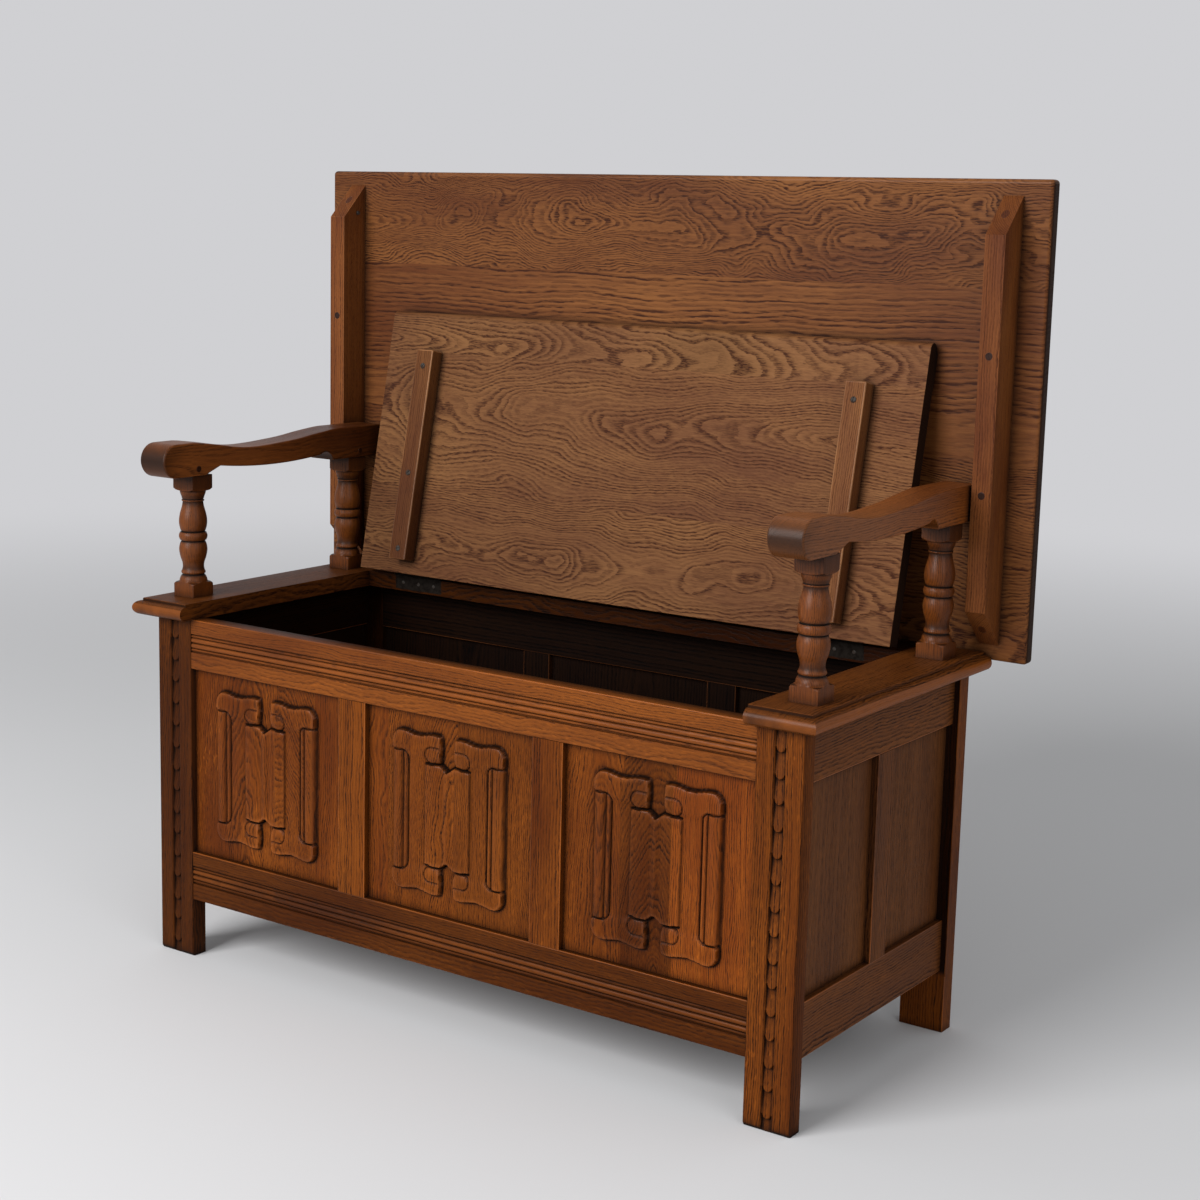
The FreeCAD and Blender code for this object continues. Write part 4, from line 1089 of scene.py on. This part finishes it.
def turned_outline():
    """Radius and height of the turning, in millimetres over the foot of the baluster. The
    blocks are what is left of the square where the turning is wider than it."""
    beyond = 26.0
    foot = BASE_BLOCK
    lower = [(beyond, 0.0), (beyond, foot - 3.4)]
    lower += smooth_line([(24.7, foot - 2.8), (22.4, foot - 0.9), (19.0, foot - 0.1)], 3)
    lower += arc_points((17.5, foot), (16.7, foot + 5.0), (14.2, foot + 9.0), 8)
    lower += [(13.4, foot + 9.5), (13.4, foot + 10.3), (14.7, foot + 10.8)]
    lower += arc_points(lower[-1], (15.3, foot + 12.4), (14.6, foot + 14.2), 5)
    lower += smooth_line([(14.2, foot + 15.2), (13.3, foot + 19.5), (13.9, foot + 25.0),
                          (16.2, foot + 32.0), (17.7, foot + 40.5), (16.9, foot + 47.5),
                          (15.0, foot + 52.0)], 5)
    ring = [(14.3, foot + 52.6), (14.3, foot + 53.3), (16.2, foot + 53.6)]
    ring += arc_points(ring[-1], (17.9, foot + 58.6), (16.2, foot + 63.6), 8)
    ring += [(14.3, foot + 63.9), (14.3, foot + 64.6)]
    upper = smooth_line([(15.2, foot + 65.2), (17.2, foot + 72.0), (17.6, foot + 79.0),
                         (16.4, foot + 87.0), (14.2, foot + 95.0), (13.0, foot + 101.0),
                         (13.1, foot + 103.0)], 5)
    upper += [(13.8, foot + 103.4)]
    upper += arc_points(upper[-1], (14.2, foot + 104.3), (13.8, foot + 105.2), 4)
    upper += [(13.0, foot + 105.6), (13.0, foot + 106.2)]
    head = foot + SHAFT
    upper += smooth_line([(13.6, foot + 106.6), (14.4, foot + 109.5), (15.8, foot + 113.2),
                          (16.4, head - 0.6)], 4)
    upper += smooth_line([(17.6, head), (21.5, head + 0.8), (24.7, head + 3.0)], 3)
    upper += [(beyond, head + 3.6), (beyond, head + HEAD_BLOCK)]
    return lower + ring + upper


class SETTLE_OT_balusters(bpy.types.Operator):
    """Turns the four balusters under the arms"""
    bl_idname = "settle.balusters"
    bl_label = "Balusters"
    bl_options = {"REGISTER", "UNDO"}

    def execute(self, context):
        steps = 8 * round(context.scene.settle_sizes.turning_steps / 8)
        arm_foot = low("arm_left").z
        seed = 120
        for name, _ in SIDES:
            for place in ("front", "rear"):
                node = f"baluster_{place}_{name}"
                corner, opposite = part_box(node)
                centre = (corner + opposite) / 2
                height = (min(opposite.z, arm_foot) - corner.z) / MM
                stretch = height / (BASE_BLOCK + SHAFT + HEAD_BLOCK)
                mesh = self.baluster(node, centre, corner.z, stretch, steps)
                lay_grain(mesh, Z, -Y, (0.03, 0.03), seed, tone=-0.22, wild=0.15, coarse=0.8,
                          calm=0.1)
                finish_piece(f"turned_{node}", mesh, [node], smooth=34)
                seed += 1
        return {"FINISHED"}

    @staticmethod
    def baluster(node, centre, foot, stretch, steps):
        outline = turned_outline()
        radii = np.array([r for r, _ in outline])
        heights = np.array([z for _, z in outline])
        angles = math.tau * np.arange(steps) / steps
        flat = SQUARE / np.maximum(np.abs(np.cos(angles)), np.abs(np.sin(angles)))
        flat = np.minimum(flat, SQUARE * math.sqrt(2) - 0.5)
        radius = np.minimum(radii[:, None], flat[None, :]) * MM
        points = np.stack([centre.x + radius * np.cos(angles), centre.y + radius * np.sin(angles),
                           foot + np.repeat(heights[:, None], steps, 1) * stretch * MM], -1)
        rows = len(outline)
        index = np.arange(rows * steps).reshape(rows, steps)
        turned = np.roll(index, -1, 1)
        quads = np.stack([index[:-1], turned[:-1], turned[1:], index[1:]], -1).reshape(-1, 4)
        faces = quads.tolist() + [index[0][::-1].tolist(), index[-1].tolist()]
        mesh = bpy.data.meshes.new(node)
        mesh.from_pydata(points.reshape(-1, 3).tolist(), [], faces)
        shown = np.minimum(radii, SQUARE)
        even = np.linspace(heights[0], heights[-1], 400)
        along = np.interp(even, heights, shown)
        narrow = [along[np.abs(even - z) < 6.0].mean() - r for r, z in zip(shown, heights)]
        # Painted shade with dark wax: darker in the necks and ring grooves; the head block is darkened as painted
        # shade under the arm
        wax = np.array(narrow) / 1.6
        wax += 0.65 * np.clip((heights - BASE_BLOCK - SHAFT + 2) / 3, 0, 1)
        for place in (BASE_BLOCK + 4, BASE_BLOCK + 17, BASE_BLOCK + 102, BASE_BLOCK + 110):
            wax += 0.42 * np.exp(-((heights - place) / 5.0) ** 2)
        wax = np.clip(wax, 0, 0.9)
        set_numbers(mesh, "dirt", "FLOAT", "POINT", np.repeat(wax, steps))
        return mesh


def arm_outline(corner, opposite):
    """Outline of an arm in Y and Z, counter-clockwise from its front underside."""
    r = (opposite.z - corner.z) / 2
    foot, top = corner.z, opposite.z
    nose = corner.y + r
    rear = opposite.y - r
    front_post = nose + 47.5 * MM
    rear_post = nose + 339.5 * MM
    half = SQUARE * MM
    under_start = front_post + half + 12 * MM
    notch_end = rear_post - half - 34 * MM
    notch_start = notch_end - 24 * MM
    middle = (under_start + notch_start) / 2
    dip = (front_post + notch_end) / 2
    rise, sag, drop = 10 * MM, 6 * MM, 12.5 * MM
    points = [(nose, foot), (front_post + half - 14 * MM, foot)]
    points += arc_points(points[-1], (under_start - 12 * MM, foot + 0.55 * rise),
                         (under_start, foot + rise), 8)
    points += arc_points(points[-1], (middle, foot + rise - sag),
                         (notch_start, foot + rise - 1 * MM), 16)
    points += arc_points(points[-1], ((notch_start + notch_end) / 2, foot + rise + 2 * MM),
                         (notch_end, foot), 10)
    points += [(rear, foot)]
    points += arc_points(points[-1], (rear + r, foot + r), (rear, top), 14)
    shoulders = [(notch_end + 12 * MM, 0.0), (notch_end - 30 * MM, 0.3), (dip + 40 * MM, 0.75),
                 (dip - 40 * MM, 1.0), (front_post + 14 * MM, 0.3), (front_post - 18 * MM, 0.0)]
    points += smooth_line([(y, top - share * drop) for y, share in shoulders], 8)
    points += [(nose, top)]
    points += arc_points(points[-1], (nose - r, foot + r), (nose, foot), 16)[:-1]
    return points


def smooth_line(points, steps):
    """Catmull-Rom curve through the points."""
    p = [Vector((2 * points[0][0] - points[1][0], points[0][1]))]
    p += [Vector(q) for q in points]
    p += [Vector((2 * points[-1][0] - points[-2][0], points[-1][1]))]
    out = [points[0]]
    for i in range(1, len(p) - 2):
        a, b, c, d = p[i - 1], p[i], p[i + 1], p[i + 2]
        for k in range(1, steps + 1):
            t = k / steps
            q = 0.5 * ((2 * b) + (c - a) * t + (2 * a - 5 * b + 4 * c - d) * t ** 2
                       + (3 * b - a - 3 * c + d) * t ** 3)
            out.append(tuple(q))
    return out


class SETTLE_OT_arms(bpy.types.Operator):
    """Shapes the two arms and sets the pegs in them"""
    bl_idname = "settle.arms"
    bl_label = "Arms"
    bl_options = {"REGISTER", "UNDO"}

    def execute(self, context):
        arris = context.scene.settle_sizes.arm_arris
        for seed, (name, side) in enumerate(SIDES):
            node = f"arm_{name}"
            corner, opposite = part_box(node)
            mesh = swept_mesh(node, arm_outline(corner, opposite), 0, corner.x, opposite.x, arris)
            ys = np.array([v.co.y for v in mesh.vertices])
            rear = np.clip((ys - corner.y) / (opposite.y - corner.y) * 2.0 - 0.7, 0, 1)
            nose = np.clip(1 - (ys - corner.y) / (22 * MM), 0, 1)
            # The right arm gets a paler tone and more greying than the left one as painted light and sheen; both
            # arms get darker towards the rear and at the nose
            lay_grain(mesh, Y, Z, (0.04 * side, 0.03), 130 + seed,
                      tone=(0.15, 0.60)[seed] - 0.6 * rear - 0.75 * nose, wild=0.3,
                      faded=(0.2, 0.6)[seed] * (1 - rear), rounded=True)
            finish_piece(f"shaped_{node}", mesh, [node], smooth=30)
        mesh = soft_copy("arm_pegs", "arm_pegs", 0.3 * MM)
        inner = low("arm_right").x
        for v in mesh.vertices:
            outward = math.copysign(1, v.co.x)
            v.co.x += 0.5 * MM * (1 if abs(v.co.x) > inner + 10 * MM else -1) * outward
        lay_grain(mesh, X, Z, (0.0, 0.02), 134)
        finish_piece("shown_arm_pegs", mesh, ["arm_pegs"])
        return {"FINISHED"}


# Lid

def opened(mesh):
    """Turns a mesh that was built shut to where the lid leans open."""
    mesh.transform(OPEN_LID)
    return mesh


class SETTLE_OT_lid(bpy.types.Operator):
    """Builds the seat lid, its two battens and their screws"""
    bl_idname = "settle.lid"
    bl_label = "Seat lid"
    bl_options = {"REGISTER", "UNDO"}

    # Heart line, tilt, tone and wildness of each board
    BOARDS = {
        "rear": ((0.012, 0.024), 0.03, -0.04, 0.75),
        "middle": ((-0.02, 0.030), -0.10, -0.03, 0.5),
        "front": ((0.01, 0.034), 0.10, -0.12, 0.35),
    }

    def execute(self, context):
        arris = context.scene.settle_sizes.arris
        for seed, (place, (heart, tilt, tone, wild)) in enumerate(self.BOARDS.items()):
            node = f"lid_board_{place}"
            corner, opposite = shut_box(node)
            if place == "front":
                mesh = self.nosed_board(node, corner, opposite)
            else:
                joints = [(1, corner.y)] + ([(1, opposite.y)] if place == "middle" else [])
                mesh = board_mesh(node, corner, opposite, arris, square=joints)
            # Painted light: each lid board's tone rises from left to right, paler on the right where the light
            # falls
            right = np.array([v.co.x > 0 for v in mesh.vertices])
            lay_grain(mesh, X, -Z, heart, 140 + seed, tone=tone - 0.04 + 0.17 * right, wild=wild,
                      tilt=tilt)
            darken_ends(mesh, lambda sideways: 0.8 * (sideways > 0.5))
            mark_wear_and_highlight(mesh, lambda m: np.zeros(len(m)))
            finish_piece(f"shown_{node}", opened(mesh), [node], smooth=38)
        for seed, (name, _) in enumerate(SIDES):
            node = f"lid_batten_{name}"
            mesh = board_mesh(node, *shut_box(node), 1.6 * MM, steps=3)
            lay_grain(mesh, Y, -Z, (0.05, 0.06), 144 + seed, tone=(-0.30, 0.02)[seed], wild=0.15,
                      coarse=0.5, calm=0.35, ruddy=(0.7, 0.35)[seed])
            finish_piece(f"shown_{node}", opened(mesh), [node])
        self.batten_screws()
        return {"FINISHED"}

    @staticmethod
    def nosed_board(node, corner, opposite):
        """The front board of the lid, with the same nosing as the cappings."""
        bulge = 8.5 * MM
        flat = corner.y + bulge
        outline = [(opposite.y, opposite.z), (opposite.y, corner.z)]
        for out, z in nose_profile(0.0, bulge, corner.z, opposite.z):
            outline.append((flat - out, z))
        return swept_mesh(node, outline, 0, corner.x, opposite.x)

    @staticmethod
    def batten_screws():
        """Slotted heads on the battens, turned each its own way."""
        node = "lid_batten_screws"
        source = frame["nodes"][node].data
        bm = bmesh.new()
        bm.from_mesh(source)
        bmesh.ops.remove_doubles(bm, verts=bm.verts, dist=2e-6)
        loose = set(bm.verts)
        places = []
        while loose:
            island = [loose.pop()]
            for v in island:
                for e in v.link_edges:
                    other = e.other_vert(v)
                    if other in loose:
                        loose.discard(other)
                        island.append(other)
            points = np.array([SHUT_LID @ v.co for v in island])
            places.append(((points.min(0) + points.max(0)) / 2, points[:, 2].min()))
        bm.free()
        bm = bmesh.new()
        for number, (centre, face) in enumerate(places):
            slotted_head(bm, Vector((centre[0], centre[1], face)), -Z, 3.7 * MM, 1.1 * MM,
                         0.7 + 1.9 * number)
        finish_piece("shown_batten_screws", opened(mesh_from(bm, node)), [node], smooth=40)


def slotted_head(bm, place, normal, radius, height, turn):
    """A low domed screw head with a slot, standing on a face."""
    basis = normal.to_track_quat("Z", "Y").to_matrix().to_4x4()
    put = Matrix.Translation(place) @ basis @ Matrix.Rotation(turn, 4, "Z")
    slot = 0.16 * radius
    steps = 14
    for sign in (-1, 1):
        rings = []
        for share, lift in ((1.0, -0.2), (1.0, 0.35), (0.85, 0.75), (0.55, 1.0)):
            r = radius * share
            start = math.asin(min(1.0, slot / r))
            ring = []
            for k in range(steps + 1):
                angle = start + (math.pi - 2 * start) * k / steps
                ring.append(bm.verts.new(put @ Vector(
                    (r * math.cos(angle), sign * r * math.sin(angle), height * lift))))
            rings.append(ring)
        for below, above in zip(rings, rings[1:]):
            for k in range(steps):
                bm.faces.new((below[k], below[k + 1], above[k + 1], above[k]))
            bm.faces.new((below[-1], below[0], above[0], above[-1]))
        bm.faces.new(rings[-1])
        bm.faces.new(rings[0][::-1])
    disc = [bm.verts.new(put @ Vector((0.98 * radius * math.cos(math.tau * k / 24),
                                       0.98 * radius * math.sin(math.tau * k / 24),
                                       0.15 * height))) for k in range(24)]
    under = [bm.verts.new(v.co - normal * 0.5 * MM) for v in disc]
    bm.faces.new(disc)
    bm.faces.new(under[::-1])
    for k in range(24):
        n = (k + 1) % 24
        bm.faces.new((under[k], under[n], disc[n], disc[k]))
    bmesh.ops.recalc_face_normals(bm, faces=bm.faces)


class SETTLE_OT_hinges(bpy.types.Operator):
    """Builds the leaves, knuckles, pins and screws of the two butt hinges"""
    bl_idname = "settle.hinges"
    bl_label = "Hinges"
    bl_options = {"REGISTER", "UNDO"}

    def execute(self, context):
        for node in ("hinge_leaves_rail", "hinge_leaves_lid", "hinge_pins",
                     "hinge_screws_rail", "hinge_screws_lid"):
            mesh = soft_copy(node, node, 0.25 * MM)
            finish_piece(f"shown_{node}", mesh, [node], smooth=40)
        return {"FINISHED"}


# Table top

class SETTLE_OT_table_top(bpy.types.Operator):
    """Builds the boards of the table top, its bearers with their plugs, and the pins"""
    bl_idname = "settle.table_top"
    bl_label = "Table top"
    bl_options = {"REGISTER", "UNDO"}

    # Heart line, tone, wildness and coarseness of each board
    BOARDS = {
        "low": ((0.10, 0.03), -0.05, 0.5, 1.0),
        "middle": ((0.075, 0.02), 0.0, 0.22, 1.7),
        "high": ((0.0, 0.008), 0.0, 1.15, 1.0),
    }

    def execute(self, context):
        sizes = context.scene.settle_sizes
        bottom, top = low("table_board_low").z, high("table_board_high").z
        for seed, (place, (heart, tone, wild, coarse)) in enumerate(self.BOARDS.items()):
            node = f"table_board_{place}"
            corner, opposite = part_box(node)
            joints = [(2, z) for z in (corner.z, opposite.z) if bottom < z < top]
            mesh = board_mesh(node, corner, opposite, sizes.top_edge, steps=5, square=joints)
            lay_grain(mesh, X, -Y, heart, 150 + seed, tone=tone, wild=wild, coarse=coarse)
            darken_ends(mesh, lambda sideways: np.clip(sideways * 1.2 - 0.6, 0, 0.55))
            # Painted highlight with wear along the top arris
            mark_wear_and_highlight(mesh, lambda m: (m[:, 2] > opposite.z - sizes.top_edge) * 0.35)
            finish_piece(f"shown_{node}", mesh, [node], smooth=38)
        for seed, (name, side) in enumerate(SIDES):
            node = f"bearer_{name}"
            mesh = soft_copy(node, node, 1.4 * MM, steps=3)
            lay_grain(mesh, Z, -Y, (0.05, 0.05), 154 + seed, tone=0.02, wild=0.1, coarse=0.5,
                      calm=0.30, ruddy=0.6)
            finish_piece(f"shown_{node}", mesh, [node])
        for node in ("bearer_plugs", "bearer_studs", "pivot_pins"):
            mesh = soft_copy(node, node, 0.3 * MM)
            lay_grain(mesh, Y, Z, (0.0, 0.02), 158)
            finish_piece(f"shown_{node}", mesh, [node], smooth=40)
        return {"FINISHED"}


# Stage

class SETTLE_OT_stage(bpy.types.Operator):
    """Sets the pale floor, the soft lamps and the camera at the photograph's angle"""
    bl_idname = "settle.stage"
    bl_label = "Stage"
    bl_options = {"REGISTER", "UNDO"}

    CAMERA_PLACE = Vector((1.4630, -2.0102, 0.9518))
    CAMERA_YAW = 34.506
    CAMERA_PITCH = -9.691
    CAMERA_ROLL = 1.427
    FOCAL_PIXELS = 2084.1
    CENTRE_PIXEL = (604.74, 571.43)
    IMAGE_PIXELS = 1200.0

    def execute(self, context):
        stage = context.scene.settle_stage
        self.camera(context)
        self.lamps(context, stage)
        floor_reach = 30.0
        bm = bmesh.new()
        bmesh.ops.create_grid(bm, x_segments=8, y_segments=8, size=floor_reach)
        mesh = mesh_from(bm, "floor")
        floor = bpy.data.objects.new("floor", mesh)
        context.scene.collection.objects.link(floor)
        mesh.materials.append(floor_finish(stage.floor_colour, stage.backdrop))
        return {"FINISHED"}

    def camera(self, context):
        yaw, pitch = math.radians(self.CAMERA_YAW), math.radians(self.CAMERA_PITCH)
        roll = math.radians(self.CAMERA_ROLL)
        look = Vector((-math.sin(yaw) * math.cos(pitch), math.cos(yaw) * math.cos(pitch),
                       math.sin(pitch)))
        level = Vector((math.cos(yaw), math.sin(yaw), 0))
        rise = level.cross(look)
        right = math.cos(roll) * level + math.sin(roll) * rise
        up = math.cos(roll) * rise - math.sin(roll) * level
        data = bpy.data.cameras.new("photo camera")
        data.sensor_width = 36.0
        data.lens = self.FOCAL_PIXELS / self.IMAGE_PIXELS * data.sensor_width
        data.shift_x = (self.IMAGE_PIXELS / 2 - self.CENTRE_PIXEL[0]) / self.IMAGE_PIXELS
        data.shift_y = (self.CENTRE_PIXEL[1] - self.IMAGE_PIXELS / 2) / self.IMAGE_PIXELS
        camera = bpy.data.objects.new("photo camera", data)
        turn = Matrix((right, up, -look)).transposed()
        camera.matrix_world = Matrix.Translation(self.CAMERA_PLACE) @ turn.to_4x4()
        context.scene.collection.objects.link(camera)
        context.scene.camera = camera

    @staticmethod
    def lamps(context, stage):
        scene = context.scene
        scene.view_settings.view_transform = "Standard"
        f = Finish(bpy.data.worlds.new("pale room"))
        seen = f.node("ShaderNodeBackground", {}, Color=(*stage.backdrop, 1), Strength=1.0)
        light = f.node("ShaderNodeBackground", {}, Color=(0.98, 0.99, 1.0, 1),
                       Strength=stage.room_light)
        camera, glossy, clear = [f.node("ShaderNodeLightPath", {}, f"Is {kind} Ray")
                                 for kind in ("Camera", "Glossy", "Transmission")]
        backdrop = camera.math("MAXIMUM", glossy).math("MAXIMUM", clear)
        scene.world = f.shown(f.node("ShaderNodeMixShader", {}, i0=backdrop, i1=light, i2=seen),
                              "World")
        for name, place, aim, size, power in (
                ("key lamp", (-0.9, -3.6, 2.3), (0, 0, 0.5), 2.4, stage.key_power),
                ("side lamp", (3.0, -1.8, 1.8), (0, 0, 0.5), 1.8, stage.key_power * 0.12)):
            data = bpy.data.lights.new(name, "AREA")
            data.shape = "SQUARE"
            data.size = size
            data.energy = power
            lamp = bpy.data.objects.new(name, data)
            lamp.location = place
            lamp.rotation_euler = (Vector(aim) - Vector(place)).to_track_quat("-Z", "Y").to_euler()
            scene.collection.objects.link(lamp)


class SETTLE_PT_panel(bpy.types.Panel):
    """Lists the sizes, the finishes and the steps that build the bench"""
    bl_idname = "SETTLE_PT_panel"
    bl_label = "Oak Settle Bench"
    bl_space_type = "VIEW_3D"
    bl_region_type = "UI"
    bl_category = "Settle"

    def draw(self, context):
        for group in GROUPS:
            box = self.layout.box()
            settings = getattr(context.scene, group)
            for key in settings.bl_rna.properties.keys():
                if key not in ("rna_type", "name"):
                    box.prop(settings, key)
        for step in STEPS:
            self.layout.operator(step.bl_idname)


GROUPS = {"settle_sizes": SettleSizes, "settle_finish": SettleFinish,
          "settle_stage": SettleStage}
STEPS = (SETTLE_OT_stage, SETTLE_OT_legs, SETTLE_OT_frames, SETTLE_OT_carved_panels,
         SETTLE_OT_plain_panels, SETTLE_OT_cappings, SETTLE_OT_balusters, SETTLE_OT_arms,
         SETTLE_OT_lid, SETTLE_OT_hinges, SETTLE_OT_table_top)
CLASSES = (*GROUPS.values(), *STEPS, SETTLE_PT_panel)


def register():
    for cls in CLASSES:
        bpy.utils.register_class(cls)
    for name, group in GROUPS.items():
        setattr(bpy.types.Scene, name, bpy.props.PointerProperty(type=group))


def unregister():
    for name in GROUPS:
        delattr(bpy.types.Scene, name)
    for cls in reversed(CLASSES):
        bpy.utils.unregister_class(cls)


def main():
    register()
    for step in STEPS:
        name = step.bl_idname.split(".")[1]
        getattr(bpy.ops.settle, name)()


if __name__ == "__main__":
    main()
